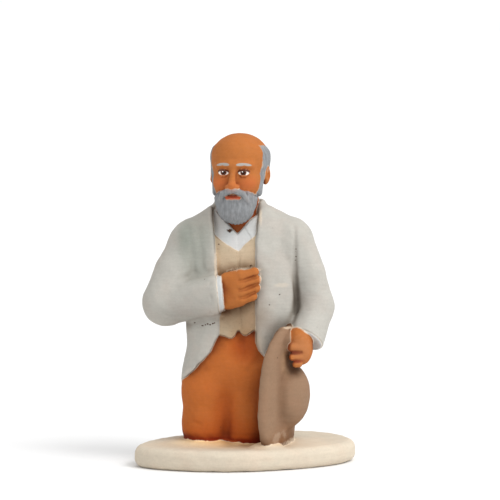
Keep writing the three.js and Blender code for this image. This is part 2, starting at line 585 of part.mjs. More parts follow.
// merges neighbouring points where that changes the surface least, until the wanted number of facets is left
function thinned(points, triangles, wanted) {
  const place = points.map((p) => new THREE.Vector3(...p));
  const faces = [];
  const facesOf = points.map(() => new Set());
  for (let t = 0; t < triangles.length; t += 3) {
    const face = [triangles[t], triangles[t + 1], triangles[t + 2]];
    face.forEach((k) => facesOf[k].add(faces.length));
    faces.push(face);
  }
  const edge1 = new THREE.Vector3();
  const edge2 = new THREE.Vector3();
  const normalOf = (a, b, c) => {
    edge1.subVectors(b, a);
    edge2.subVectors(c, a);
    return new THREE.Vector3().crossVectors(edge1, edge2);
  };
  const sums = points.map(() => new Float64Array(10));
  for (const face of faces) {
    const normal = normalOf(...face.map((k) => place[k]));
    const area = normal.length() / 2;
    if (area < 1e-12) continue;
    normal.normalize();
    const d = -normal.dot(place[face[0]]);
    const v = [normal.x, normal.y, normal.z, d];
    let slot = 0;
    for (let i = 0; i < 4; i += 1) {
      for (let j = i; j < 4; j += 1) {
        for (const k of face) sums[k][slot] += area * v[i] * v[j];
        slot += 1;
      }
    }
  }
  const stamp = new Int32Array(points.length);
  const heap = [];
  const lift = (item) => {
    let k = heap.push(item) - 1;
    while (k > 0) {
      const up = (k - 1) >> 1;
      if (heap[up].cost <= heap[k].cost) break;
      [heap[up], heap[k]] = [heap[k], heap[up]];
      k = up;
    }
  };
  const take = () => {
    const first = heap[0];
    const last = heap.pop();
    if (heap.length > 0) {
      heap[0] = last;
      let k = 0;
      while (true) {
        let low = k;
        for (const down of [2 * k + 1, 2 * k + 2]) {
          if (down < heap.length && heap[down].cost < heap[low].cost) low = down;
        }
        if (low === k) break;
        [heap[low], heap[k]] = [heap[k], heap[low]];
        k = low;
      }
    }
    return first;
  };
  const neighbours = (a) => {
    const near = new Set();
    for (const f of facesOf[a]) faces[f].forEach((k) => k !== a && near.add(k));
    return near;
  };
  const offer = (a, b) => {
    const q = sums[a].map((value, k) => value + sums[b][k]);
    const middle = new THREE.Vector3().lerpVectors(place[a], place[b], 0.5);
    const reach = place[a].distanceTo(place[b]);
    const options = [place[a].clone(), place[b].clone(), middle];
    const best = planeMeeting(q);
    if (best && best.distanceTo(middle) < reach) options.push(best);
    const costs = options.map((p) => planeCost(q, p.x, p.y, p.z));
    const cost = Math.min(...costs);
    const to = options[costs.indexOf(cost)];
    lift({ cost: cost + 1e-7 * reach * reach, a, b, q, to, sa: stamp[a], sb: stamp[b] });
  };
  place.forEach((_, a) => neighbours(a).forEach((b) => a < b && offer(a, b)));
  let left = faces.length;
  while (left > wanted && heap.length > 0) {
    const { a, b, q, to, sa, sb } = take();
    if (sa !== stamp[a] || sb !== stamp[b]) continue;
    const shared = [...facesOf[a]].filter((f) => facesOf[b].has(f));
    const nearB = neighbours(b);
    const beside = [...neighbours(a)].filter((k) => nearB.has(k));
    if (shared.length !== 2 || beside.length !== 2) continue;
    const turned = (from, other) => [...facesOf[from]].some((f) => {
      if (facesOf[other].has(f)) return false;
      const before = normalOf(...faces[f].map((k) => place[k]));
      const after = normalOf(...faces[f].map((k) => (k === from ? to : place[k])));
      return after.length() < 0.02 || after.dot(before) < 0.35 * after.length() * before.length();
    });
    if (turned(a, b) || turned(b, a)) continue;
    for (const f of shared) {
      faces[f].forEach((k) => facesOf[k].delete(f));
      faces[f] = null;
      left -= 1;
    }
    for (const f of facesOf[b]) {
      faces[f] = faces[f].map((k) => (k === b ? a : k));
      facesOf[a].add(f);
    }
    facesOf[b].clear();
    place[a].copy(to);
    sums[a] = q;
    stamp[a] += 1;
    stamp[b] += 1;
    neighbours(a).forEach((k) => offer(a, k));
  }
  const renamed = new Map();
  const kept = [];
  const list = [];
  for (const face of faces.filter((f) => f)) {
    for (const k of face) {
      if (!renamed.has(k)) renamed.set(k, kept.push(place[k].toArray()) - 1);
      list.push(renamed.get(k));
    }
  }
  return { points: kept, triangles: list };
}

// rounded base slab with an oval outline, blunter at its right end
function baseFacets() {
  const rounding = Math.min(BASE_ROUNDING, 0.45 * BASE_THICKNESS);
  const outline = (grow, k) => {
    const t = (2 * Math.PI * k) / BASE_SIDES;
    const c = Math.cos(t);
    const s = Math.sin(t);
    const blend = THREE.MathUtils.smoothstep(c, -1, 1);
    const power = BASE_LEFT_POWER + (BASE_RIGHT_POWER - BASE_LEFT_POWER) * blend;
    const reach = (Math.abs(c) ** power + Math.abs(s) ** power) ** (-1 / power);
    const u = (BASE_LONG / 2 + grow) * c * reach;
    const v = (BASE_SHORT / 2 + grow) * s * reach;
    const a = rad(BASE_TURN);
    return [u * Math.cos(a) - v * Math.sin(a), u * Math.sin(a) + v * Math.cos(a)];
  };
  // the outline's own middle, so that the base's box is centred on the origin
  const rim = Array.from({ length: BASE_SIDES }, (_, k) => outline(0, k));
  const middle = [0, 1].map((m) => {
    const values = rim.map((p) => p[m]);
    return (Math.min(...values) + Math.max(...values)) / 2;
  });
  const rings = [];
  for (let side = 0; side < 2; side += 1) {
    for (let k = 0; k <= BASE_EDGE_STEPS; k += 1) {
      const a = ((side * BASE_EDGE_STEPS + k) / (2 * BASE_EDGE_STEPS)) * Math.PI - Math.PI / 2;
      const height = side === 0 ? rounding : BASE_THICKNESS - rounding;
      rings.push([rounding * (Math.cos(a) - 1), height + rounding * Math.sin(a)]);
    }
  }
  const points = [];
  for (const [grow, z] of rings) {
    for (let k = 0; k < BASE_SIDES; k += 1) {
      const p = outline(grow, k);
      points.push([p[0] - middle[0], p[1] - middle[1], z]);
    }
  }
  const under = points.push([0, 0, 0]) - 1;
  const over = points.push([0, 0, BASE_THICKNESS]) - 1;
  const triangles = [];
  for (let k = 0; k < BASE_SIDES; k += 1) {
    const next = (k + 1) % BASE_SIDES;
    triangles.push(under, next, k);
    const last = (rings.length - 1) * BASE_SIDES;
    triangles.push(over, last + k, last + next);
    for (let r = 0; r < rings.length - 1; r += 1) {
      const a = r * BASE_SIDES;
      const b = a + BASE_SIDES;
      triangles.push(a + k, a + next, b + next, a + k, b + next, b + k);
    }
  }
  return { points, triangles };
}

const wasm = await Module();
wasm.setup();

function solid({ points, triangles }) {
  const mesh = new wasm.Mesh({
    numProp: 3,
    vertProperties: new Float32Array(points.flat()),
    triVerts: new Uint32Array(triangles),
  });
  return new wasm.Manifold(mesh);
}

// carved form in shares, brought to millimetres on the base
function carved(form, low, high, facet) {
  const { points, triangles } = faceted(form, low, high, facet);
  return solid({ points: points.map((p) => p.map((value, k) => value * SHARE + STAND[k])), triangles });
}

const pieces = [
  carved(bodyForm(), [-36, -26, -5], [36, 32, 84], BODY_FACET),
  carved(headForm(), [-14, -18, 65], [14, 14, 102], HEAD_FACET),
  carved(fistForm(), [-9, -19, 40], [10, -6, 60], HAND_FACET),
  carved(holdingHandForm(), [13, -18, 23], [26, -5, 40], HAND_FACET),
  carved(collarForm(), [-12, -13, 60], [12, 0, 78], HAND_FACET),
  carved(hatForm(), hatReach(-1), hatReach(1), HAT_FACET),
];
let figure = pieces[0];
for (const piece of pieces.slice(1)) figure = figure.add(piece);
const carving = figure.getMesh();
const carvingPoints = [];
for (let k = 0; k < carving.vertProperties.length; k += 3) {
  carvingPoints.push([...carving.vertProperties.slice(k, k + 3)]);
}
figure = solid(thinned(carvingPoints, [...carving.triVerts], FIGURE_FACETS));
let whole = solid(baseFacets()).add(figure);
// nothing reaches below the underside
const room = 2 * FIGURE_HEIGHT;
const below = new THREE.BoxGeometry(room, room, room);
below.translate(0, 0, -room / 2);
const belowIndex = [];
const belowPoints = [];
const seen = new Map();
for (const k of below.index.array) {
  const p = [0, 1, 2].map((m) => below.attributes.position.array[3 * k + m]);
  const key = p.join(' ');
  if (!seen.has(key)) seen.set(key, belowPoints.push(p) - 1);
  belowIndex.push(seen.get(key));
}
whole = whole.subtract(solid({ points: belowPoints, triangles: belowIndex }));

const result = whole.getMesh();
const geometry = new THREE.BufferGeometry();
geometry.setAttribute('position', new THREE.BufferAttribute(new Float32Array(result.vertProperties), 3));
geometry.setIndex(new THREE.BufferAttribute(new Uint32Array(result.triVerts), 1));
geometry.computeVertexNormals();
const clay = new THREE.MeshStandardMaterial({ color: 0xd9cbb5, roughness: 0.85, metalness: 0 });
const santon = new THREE.Mesh(geometry, clay);
santon.name = 'santon';

const group = new THREE.Group();
group.name = 'santon figure';
group.add(santon);

export default group;
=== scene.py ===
import math

import bpy
import numpy as np
from mathutils import Euler, Matrix, Vector


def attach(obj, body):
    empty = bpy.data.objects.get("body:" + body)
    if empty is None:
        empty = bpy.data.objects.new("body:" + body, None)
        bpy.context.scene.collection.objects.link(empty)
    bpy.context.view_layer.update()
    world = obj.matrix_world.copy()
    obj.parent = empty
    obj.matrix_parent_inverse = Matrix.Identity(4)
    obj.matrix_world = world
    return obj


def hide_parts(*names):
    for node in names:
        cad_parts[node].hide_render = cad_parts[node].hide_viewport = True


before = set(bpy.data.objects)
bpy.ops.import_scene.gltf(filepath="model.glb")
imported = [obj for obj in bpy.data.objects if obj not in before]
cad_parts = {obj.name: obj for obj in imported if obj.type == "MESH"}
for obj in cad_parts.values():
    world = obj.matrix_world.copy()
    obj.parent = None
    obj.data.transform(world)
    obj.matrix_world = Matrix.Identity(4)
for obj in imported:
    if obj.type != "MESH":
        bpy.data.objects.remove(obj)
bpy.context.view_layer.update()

# sizes in metres
FIGURE_HEIGHT = 0.062
BASE_THICKNESS = 0.0042
BASE_LONG = 0.0455
BASE_SHORT = 0.0298
BASE_ROUNDING = 0.0016
MOUND_RISE = 0.001
HAT_HEIGHT = 0.0274
HAT_DEPTH = 0.0198
HAT_CURL = 0.0025
BRIM_THICKNESS = 0.00175
GRIP_HEIGHT = 0.0239
SHARE = FIGURE_HEIGHT / 100
STAND = Vector((-1.74 * SHARE, -1.13 * SHARE, BASE_THICKNESS))
BASE_TURN = 20
BASE_LEFT_POWER = 1.7
BASE_RIGHT_POWER = 2.35

# distance between the points of the surface, in shares, and the most triangles it may keep
FINE_CELL = 0.32
TRIANGLES = 195000
# how far round a form its distance is worked out
BAND = 4.6
# how far out and in from the surface its hollows and its edges are felt for
OPEN_REACH = 1.6
WIDE_REACH = 4.2
EDGE_REACH = 1.1
# in shares: the corners of the room looked through for the surface, and what counts as far from it
ROOM_LOW = (-38, -30, -8)
ROOM_HIGH = (40, 32, 102)
FAR = 20.0
# how far a groove or a dent is felt, in its own widths
PRESS_REACH = 2.2
# keeps a divisor above nothing
TINY = 1e-6


def vec(*values):
    return np.array(values, float)


def smooth_min(a, b, blend):
    if blend <= 0:
        return np.minimum(a, b)
    h = np.maximum(blend - np.abs(a - b), 0) / blend
    return np.minimum(a, b) - h * h * blend * 0.25


def smooth_max(a, b, blend):
    return -smooth_min(-a, -b, blend)


def smooth_step(t):
    t = np.clip(t, 0, 1)
    return t * t * (3 - 2 * t)


class Form:
    """A distance to a shape, negative inside it, and the box that the shape lies in."""

    def __init__(self, distance, low=(-1e3,) * 3, high=(1e3,) * 3):
        self.distance = distance
        self.low = np.array(low, float)
        self.high = np.array(high, float)


def ball(centre, radii):
    c = vec(*centre)
    r = vec(*radii)

    def distance(x, y, z):
        u = (x - c[0]) / r[0]
        v = (y - c[1]) / r[1]
        w = (z - c[2]) / r[2]
        k = np.sqrt(u * u + v * v + w * w)
        slope = np.sqrt((u / r[0]) ** 2 + (v / r[1]) ** 2 + (w / r[2]) ** 2)
        return k * (k - 1) / np.maximum(slope, TINY)
    return Form(distance, c - r, c + r)


def rod(a, b, ra, rb=None):
    rb = ra if rb is None else rb
    a = vec(*a)
    b = vec(*b)
    d = b - a
    length2 = float(d @ d)

    def distance(x, y, z):
        px = x - a[0]
        py = y - a[1]
        pz = z - a[2]
        t = np.clip((px * d[0] + py * d[1] + pz * d[2]) / length2, 0, 1)
        away = np.sqrt((px - t * d[0]) ** 2 + (py - t * d[1]) ** 2 + (pz - t * d[2]) ** 2)
        return away - (ra + (rb - ra) * t)
    r = max(ra, rb)
    return Form(distance, np.minimum(a, b) - r, np.maximum(a, b) + r)


def slab(centre, halves, rounding):
    c = vec(*centre)
    h = vec(*halves)

    def distance(x, y, z):
        u = np.abs(x - c[0]) - h[0] + rounding
        v = np.abs(y - c[1]) - h[1] + rounding
        w = np.abs(z - c[2]) - h[2] + rounding
        out = np.sqrt(np.maximum(u, 0) ** 2 + np.maximum(v, 0) ** 2 + np.maximum(w, 0) ** 2)
        return out + np.minimum(np.maximum(u, np.maximum(v, w)), 0) - rounding
    return Form(distance, c - h, c + h)


def through(rows, at, column):
    """Value that runs smoothly through the rows, by the first entry of each row."""
    keys = np.array([row[0] for row in rows], float)
    values = np.array([row[column] for row in rows], float)
    middle = (values[2:] - values[:-2]) / (keys[2:] - keys[:-2])
    first = (values[1] - values[0]) / (keys[1] - keys[0])
    last = (values[-1] - values[-2]) / (keys[-1] - keys[-2])
    slope = np.concatenate([[first], middle, [last]])
    at = np.clip(at, keys[0], keys[-1])
    i = np.clip(np.searchsorted(keys, at, side="right") - 1, 0, len(keys) - 2)
    width = keys[i + 1] - keys[i]
    s = (at - keys[i]) / width
    s2 = s * s
    s3 = s2 * s
    near = (2 * s3 - 3 * s2 + 1) * values[i] + (s3 - 2 * s2 + s) * width * slope[i]
    far = (3 * s2 - 2 * s3) * values[i + 1] + (s3 - s2) * width * slope[i + 1]
    return near + far


def upright(rows, power, cap):
    """Upright form; each row is height, middle depth, half width, half depth."""
    bottom = rows[0][0]
    top = rows[-1][0]

    def distance(x, y, z):
        hx = through(rows, z, 2)
        hy = through(rows, z, 3)
        u = np.abs(x) / hx + TINY
        v = np.abs(y - through(rows, z, 1)) / hy + TINY
        q = (u ** power + v ** power) ** (1 / power)
        steep = q ** (1 - power) * np.sqrt((u ** (power - 1) / hx) ** 2 + (v ** (power - 1) / hy) ** 2)
        side = (q - 1) / np.maximum(steep, 1 / np.maximum(hx, hy))
        return smooth_max(smooth_max(side, z - top, cap), bottom - z, cap)
    wide = max(row[2] for row in rows)
    deep = max(abs(row[1]) + row[3] for row in rows)
    return Form(distance, (-wide, -deep, bottom), (wide, deep, top))


def placed(form, at, turn):
    m = np.array(Euler([math.radians(value) for value in turn], "XYZ").to_matrix())

    def distance(x, y, z):
        px = x - at[0]
        py = y - at[1]
        pz = z - at[2]
        local = [m[0, k] * px + m[1, k] * py + m[2, k] * pz for k in range(3)]
        return form.distance(*local)
    box = (form.low, form.high)
    corners = [(box[i][0], box[j][1], box[k][2]) for i in (0, 1) for j in (0, 1) for k in (0, 1)]
    corners = np.array(corners) @ m.T + vec(*at)
    return Form(distance, corners.min(0), corners.max(0))


def box_round(forms):
    return np.min([form.low for form in forms], 0), np.max([form.high for form in forms], 0)


def joined(blend, *forms):
    def distance(x, y, z):
        d = forms[0].distance(x, y, z)
        for form in forms[1:]:
            d = smooth_min(d, form.distance(x, y, z), blend)
        return d
    return Form(distance, *box_round(forms))


def common(form, bound, blend):
    def distance(x, y, z):
        return smooth_max(form.distance(x, y, z), bound.distance(x, y, z), blend)
    return Form(distance, form.low, form.high)


def minus(form, cutter, blend):
    return common(form, Form(lambda x, y, z: -cutter.distance(x, y, z)), blend)


def sliced(form, point, normal, blend):
    """Keeps the side of a plane that its normal points away from."""
    n = vec(*normal) / np.linalg.norm(normal)
    p = vec(*point)
    plane = Form(lambda x, y, z: (x - p[0]) * n[0] + (y - p[1]) * n[1] + (z - p[2]) * n[2])
    return common(form, plane, blend)


def outline_distance(corners, x, z):
    """Signed distance in the front view to an outline with straight sides, negative inside."""
    near = np.full(np.broadcast(x, z).shape, 1e6)
    inside = np.zeros(near.shape, bool)
    for (ax, az), (bx, bz) in zip(corners, corners[1:] + corners[:1]):
        ex = bx - ax
        ez = bz - az
        t = np.clip(((x - ax) * ex + (z - az) * ez) / (ex * ex + ez * ez), 0, 1)
        near = np.minimum(near, (x - ax - t * ex) ** 2 + (z - az - t * ez) ** 2)
        spans = (az > z) != (bz > z)
        left = x < ax + (z - az) * ex / (ez if abs(ez) > 1e-9 else 1e-9)
        inside ^= spans & left
    return np.where(inside, -1, 1) * np.sqrt(near)


def patch(under, corners, rise, edge, turn=0):
    """Layer laid on the front of a form, with an outline given in the front view."""
    a = math.radians(turn)

    def distance(x, y, z):
        across = x * math.cos(a) + y * math.sin(a)
        side = outline_distance(corners, across, z)
        return smooth_max(np.maximum(side, y), under.distance(x, y, z) - rise, edge)
    return Form(distance, under.low - rise, under.high + rise)


def groove(points, depth, width):
    """Soft groove of a tool along a line of points, or a ridge where the depth is below zero."""
    line = [rod(a, b, 0) for a, b in zip(points[:-1], points[1:])]
    reach = PRESS_REACH * width

    def push(x, y, z):
        away = line[0].distance(x, y, z)
        for part in line[1:]:
            away = np.minimum(away, part.distance(x, y, z))
        return depth * np.exp(-(away / width) ** 2)
    low, high = box_round(line)
    return Form(push, low - reach, high + reach)


def dent(centre, radii, depth):
    """Shallow hollow pressed in with a fingertip, or a swelling where the depth is below zero."""
    c = vec(*centre)
    r = vec(*radii)

    def push(x, y, z):
        k = ((x - c[0]) / r[0]) ** 2 + ((y - c[1]) / r[1]) ** 2 + ((z - c[2]) / r[2]) ** 2
        return depth * np.exp(-k)
    return Form(push, c - PRESS_REACH * r, c + PRESS_REACH * r)


def strands(under, centre, radius, spacing, depth):
    """Wavy strands of hair combed down a form, spaced round an upright axis."""
    def push(x, y, z):
        angle = np.arctan2(x - centre[0], centre[1] - y)
        swaying = radius * angle + 0.22 * np.sin(0.8 * z + 2.1 * angle) + 0.1 * np.sin(2.1 * z)
        wave = np.sin(2 * math.pi * swaying / spacing)
        on = smooth_step(1 - np.abs(under.distance(x, y, z)) / 0.9)
        return depth * wave * on
    return Form(push, under.low - 1, under.high + 1)


def uneven(x, y, z):
    """Slow unevenness of clay that was smoothed by hand."""
    slow = np.sin(0.71 * x + 1.3) * np.sin(0.63 * y + 0.4) * np.sin(0.57 * z + 2.2)
    quick = np.sin(1.37 * x + 0.62 * z) * np.sin(1.21 * y - 0.93 * z + 1.1)
    return 0.09 * slow + 0.045 * quick


class Sculpture:
    """Clay that forms are added to, cut from and pressed into, one after another."""

    def __init__(self):
        self.steps = []

    def add(self, form, paint, blend=1.0):
        self.steps.append(("add", form, blend, paint))

    def cut(self, form, blend=0.6):
        self.steps.append(("cut", form, blend, None))

    def press(self, form):
        self.steps.append(("press", form, 0.0, None))

    @staticmethod
    def worked(step, d, x, y, z):
        kind, form, blend, _ = step
        s = form.distance(x, y, z)
        if kind == "press":
            return d + s
        if kind == "add":
            return smooth_min(d, s, blend)
        return smooth_max(d, -s, blend)

    def at(self, points):
        """Distances at points, worked out in batches that skip the forms out of reach."""
        out = np.full(len(points), FAR)
        batch = 40000
        for start in range(0, len(points), batch):
            p = points[start:start + batch]
            low = p.min(0)
            high = p.max(0)
            d = np.full(len(p), FAR)
            for step in self.steps:
                margin = step[2] + BAND
                first = step[1].low - margin
                last = step[1].high + margin
                if (first > high).any() or (last < low).any():
                    continue
                near = np.all((p > first) & (p < last), axis=1)
                if near.any():
                    q = p[near]
                    d[near] = self.worked(step, d[near], q[:, 0], q[:, 1], q[:, 2])
            out[start:start + batch] = d
        return out

    def paints(self, points, reach=3.0):
        """For each paint, the distance from each point to the forms that carry it."""
        out = {}
        for kind, form, _, paint in self.steps:
            if kind == "cut":
                gone = form.distance(*points.T)
                out = {name: np.maximum(d, -gone) for name, d in out.items()}
            if not paint:
                continue
            d = out.setdefault(paint, np.full(len(points), reach))
            near = np.all((points > form.low - reach) & (points < form.high + reach), axis=1)
            q = points[near]
            d[near] = np.minimum(d[near], form.distance(q[:, 0], q[:, 1], q[:, 2]))
        return out


# coat, waistcoat and shirt

COAT_EDGE_LEFT = [(17, -22), (19.6, -19.2), (24.6, -14), (30, -9.4), (36, -6.7), (44, -6.8), (60, -7.8),
                  (74, -8.8)]
COAT_EDGE_RIGHT = [(17, 13), (24, 11.5), (30.2, 6.3), (33, 5.2), (60, 5), (70, 5.5), (80, 6.6)]


def along(rows, at):
    return np.interp(at, [row[0] for row in rows], [row[1] for row in rows])


def coat_opening():
    def distance(x, y, z):
        return np.maximum(np.maximum(along(COAT_EDGE_LEFT, z) - x, x - along(COAT_EDGE_RIGHT, z)), y)
    return Form(distance)


def coat_form():
    rows = [(8, 3.6, 16, 12.4), (13, 3, 17, 12.8), (20, 2, 19, 12.6), (31, 1, 17.2, 11.6),
            (38, 0.7, 17.4, 11), (52, 0.8, 17.8, 11.2), (60, 1.2, 17.4, 10.8), (66, 1.6, 16, 9.9),
            (71.5, 2, 13, 8.7), (76.5, 2.8, 8.8, 7.4)]
    hem = Form(lambda x, y, z: (19.4 - 0.48 * np.maximum(y + 8, 0) - z) * 0.9)
    coat = common(upright(rows, 2.8, 1.6), hem, 1.0)
    left = rod((-7, 1.8, 69.8), (-14.8, 1, 64), 6.6, 7.6)
    right = rod((8.2, 1.8, 69.6), (15.6, 1, 65), 6.6, 7.5)
    return minus(joined(2.0, coat, left, right), coat_opening(), 1.2)


SHIRT_ROWS = [(56, 0.8, 13, 9.4), (60, 1, 13, 9.2), (66, 1.4, 11.4, 8.2), (70, 1.7, 9.8, 7.5),
              (74, 1.9, 8.5, 7.1), (77.5, 2.2, 7.2, 6.7)]
NECK_EDGE = [(-9, 75.5), (-4.4, 71.2), (-0.8, 67.4), (3, 71.6), (5.8, 73.6), (9, 77)]
LEFT_WING = [(-9.6, 76.4), (-4.5, 71.2), (-0.9, 67.6), (-0.8, 62.6), (-4.2, 64.4), (-7.6, 66.9), (-9.6, 68.6)]
RIGHT_WING = [(9, 77), (5.8, 73.6), (3, 71.6), (1.7, 69.8), (4, 66), (5.2, 66.9), (9, 69)]


def add_shirt(clay):
    shirt = upright(SHIRT_ROWS, 2.2, 0.8)
    above = Form(lambda x, y, z: np.maximum((along(NECK_EDGE, x) - z) * 0.7, y + 1))
    clay.add(rod((0, 1.6, 62), (0, 0.6, 78), 6.4, 6.0), "skin", 0.3)
    clay.add(minus(shirt, above, 0.4), "white", 0.7)
    for corners in (LEFT_WING, RIGHT_WING):
        clay.add(patch(shirt, corners, 0.3, 0.3), "white", 0.3)
    clay.press(groove([(-0.9, -7.2, 66.8), (-0.7, -8.6, 61.8)], 0.25, 0.35))


def add_torso(clay):
    clay.add(coat_form(), "coat", 0)
    collar_rows = [(69, 2.4, 11.8, 9.4), (74, 2.8, 10.0, 8.4), (78.2, 3.4, 7.9, 6.9)]
    clay.add(minus(upright(collar_rows, 2.2, 0.9), coat_opening(), 1.0), "coat", 0.5)
    clay.add(ball((6.4, 1.8, 74.2), (2.1, 4.8, 3.1)), "coat", 1.2)
    vest_rows = [(31, 0.6, 15.2, 10.1), (45, 0.4, 15.2, 10.1), (53, 0.6, 15.6, 10.3), (60, 1, 15.2, 9.6),
                 (66, 1.4, 13, 8.55), (74, 1.9, 8, 6.8)]
    points = [(-12, 33.4), (-6.6, 35.4), (-5, 35.1), (-3.6, 34.5), (-2.6, 34.4), (-1.6, 35.2), (-0.9, 36.8),
              (-0.3, 37), (0.4, 36), (1.3, 35.4), (2.2, 35.4), (3.2, 36), (4.4, 36.9), (8, 37)]
    neckline = [(-10, 68.6), (-7.6, 66.7), (-4.2, 64.2), (-0.4, 62), (1.8, 64.4), (5, 67), (9, 69.6)]
    vest = common(upright(vest_rows, 2.5, 0.8), Form(lambda x, y, z: along(points, x) - z), 0.6)
    above = Form(lambda x, y, z: np.maximum((along(neckline, x) - z) * 0.78, y))
    clay.add(minus(vest, above, 0.5), "vest", 1.1)
    add_shirt(clay)


def add_legs(clay):
    left = -10.9
    right = 3.8
    knee = 4.5
    thighs = joined(3.0,
                    rod((-7.2, 0.6, 33), (-10.5, -0.6, 17), 7.4, 7.7),
                    rod((-10.5, -0.6, 17), (left, -1.6, knee), 7.7, 7.6),
                    rod((7, 0, 33), (right, -1.6, knee), 8.4, 7.5),
                    ball((-0.5, 1, 33), (13.8, 9.6, 9)),
                    ball((-1.8, -1.6, 24), (12, 8.4, 11)))
    ridge = rod((0.2, -2.2, 19), (0.2, -2.6, 3), 6.4)
    lower = [thighs, ridge, slab(((left + right) / 2, 4.6, 6.6), (8, 11.2, 9), 3)]
    for x in (left, right):
        lower.append(rod((x, 0, 6.2), (x + 0.8, 11.2, 3.6), 7.2, 4.6))
    clay.add(joined(2.4, *lower), "trousers", 0.6)
    for x in (left, right):
        shoe = joined(1.5, ball((x + 1, 15.6, 6), (4.6, 3.4, 6.2)), ball((x + 1, 16.6, 3), (4.2, 2.9, 3.6)))
        clay.add(shoe, "shoe", 1.2)


def add_sleeve(clay, elbow, wrist, end_share, facing, radii, cuff_radii, cuff_out):
    """Sleeve from elbow to wrist that ends square to the way it faces, with a cuff coming out of it."""
    elbow = vec(*elbow)
    wrist = vec(*wrist)
    direction = (wrist - elbow) / np.linalg.norm(wrist - elbow)
    end = elbow + (wrist - elbow) * end_share
    clay.add(sliced(rod(elbow, wrist, *radii), end, facing, 0.5), "coat", 1.8)
    clay.add(sliced(rod(elbow, wrist, *cuff_radii), end + direction * cuff_out, facing, 0.4), "white", 0.2)


def add_arms(clay):
    left = ((-14.8, 1, 63.8), (-19.8, -1, 54.6), (-24.1, -3, 45.3), (7.6, 7.8, 7.2))
    right = ((16.3, 1, 65), (20.8, 0, 54), (24.1, -1, 44), (7.3, 6.8, 6.1))
    clay.add(ball((15, -3, 46), (3.2, 5, 14)), "coat", 2.0)
    for (a, b, c, radii), blend in ((left, 2.4), (right, 1.2)):
        clay.add(joined(0.5, rod(a, b, radii[0], radii[1]), rod(b, c, radii[1], radii[2])), "coat", blend)
    add_sleeve(clay, (-23.8, -3.2, 45.1), (-4.5, -11.8, 49.2), 0.865, (1, 0, 0.09),
               (6.9, 6.2), (5.6, 5.7), 1.8)
    add_sleeve(clay, (24.1, -1.2, 43.6), (20.2, -11.6, 30.4), 0.72, (-0.5, -0.6, -0.86),
               (6, 5.7), (5.4, 5.3), 0.5)


def add_folds(clay):
    """Folds of the cloth, each a line of points, how deep and how wide."""
    folds = [
        # left sleeve and armhole
        ([(-16.4, -4.4, 70), (-15.4, -7.4, 63), (-14.8, -7.9, 56)], 0.3, 0.9),
        ([(-13.2, -4.6, 71), (-12.6, -7.5, 64), (-12, -8.6, 57)], 0.35, 1.0),
        ([(-22, -9.4, 50.5), (-18.5, -10.8, 51.6), (-15.5, -11.4, 52)], 0.2, 0.8),
        ([(-25.5, -9, 43), (-21.5, -10.2, 41.2), (-18, -10.6, 41.4)], 0.22, 0.8),
        ([(-9.6, -14.5, 53), (-9, -16.5, 47.5), (-9, -12.9, 42.5)], 0.22, 0.45),
        # right sleeve and armhole
        ([(17.5, -4.8, 71), (17.6, -6.3, 62), (17.8, -6.2, 52), (18.1, -6, 46.5), (18.3, -6, 40)],
         0.55, 0.75),
        ([(21, -8.4, 43.6), (24, -8, 43), (27, -6.6, 43)], 0.2, 0.9),
        ([(20.6, -9.2, 40.6), (23.6, -9.2, 39.8), (26.6, -7.4, 39.6)], 0.2, 0.9),
        ([(21.5, -6.4, 58), (23, -6.9, 51)], 0.22, 1.4),
        # right panel of the coat
        ([(11, -8.9, 58), (11.4, -9.2, 46), (12.6, -8.6, 35)], 0.2, 1.6),
        ([(8.6, -9.9, 34), (10.5, -9.6, 29)], 0.25, 1.0),
        # left panel of the coat
        ([(-12.4, -8.9, 40), (-14, -7.8, 32), (-16, -6.6, 26)], 0.2, 1.3),
        # back of the coat
        ([(0, 11.4, 72), (0, 12, 60), (0, 11.8, 46), (0, 12.8, 30), (0, 14.9, 18)], 0.3, 0.5),
        ([(-12, 10.3, 62), (-9.6, 11.3, 52), (-8.6, 11.2, 42)], 0.3, 1.5),
        ([(12, 10.3, 62), (9.6, 11.3, 52), (8.6, 11.2, 42)], 0.3, 1.5),
        ([(0, 13.5, 26), (0, 14.6, 20), (0, 16, 12)], 0.7, 0.6),
        # waistcoat
        ([(-0.3, -8.5, 61), (-0.1, -9.7, 44), (0.4, -9.6, 37)], 0.3, 0.4),
        ([(-5.4, -9.4, 41), (-3.6, -9.6, 38.4)], 0.2, 0.5),
        ([(3.8, -9.6, 42), (2.4, -9.7, 39)], 0.2, 0.5),
        # trousers
        ([(0.4, -8.6, 34), (1.4, -9.7, 27)], 0.4, 1.0),
        ([(-3.4, -10.8, 22), (-3.6, -8.5, 13), (-4.1, -7.7, 5), (-4.3, -7.3, 0)], 0.5, 1.3),
        ([(-14.5, -7, 26), (-10.5, -8.8, 24), (-6, -9.6, 25)], 0.3, 1.2),
        ([(5.6, -9, 27), (3, -9.6, 24.4)], 0.3, 1.2),
        ([(-15.6, -6.4, 7.5), (-12.6, -8.6, 6.6)], 0.25, 0.8),
    ]
    for points, depth, width in folds:
        clay.press(groove(points, depth, width))


# head with a bald crown, side hair, beard and calm, even features

HEAD_AT = (-0.2, -1.4, 87.5)
HEAD_TURN = (0, 0, -12)
HEAD_SIZE = 0.95


def of_head(values):
    return tuple(value * HEAD_SIZE for value in values)


def on_head(form):
    return placed(form, HEAD_AT, HEAD_TURN)


def loose_ball(centre, radii):
    """Ball in the head's own frame and size."""
    return ball(of_head(centre), of_head(radii))


def head_ball(centre, radii):
    return on_head(loose_ball(centre, radii))


def head_rod(a, b, ra, rb=None):
    rb = ra if rb is None else rb
    return on_head(rod(of_head(a), of_head(b), ra * HEAD_SIZE, rb * HEAD_SIZE))


def of_head_point(values):
    """Place of a point of the head in the figure's shares."""
    turned = Matrix.Rotation(math.radians(HEAD_TURN[2]), 3, "Z") @ Vector(of_head(values))
    return tuple(turned + Vector(HEAD_AT))


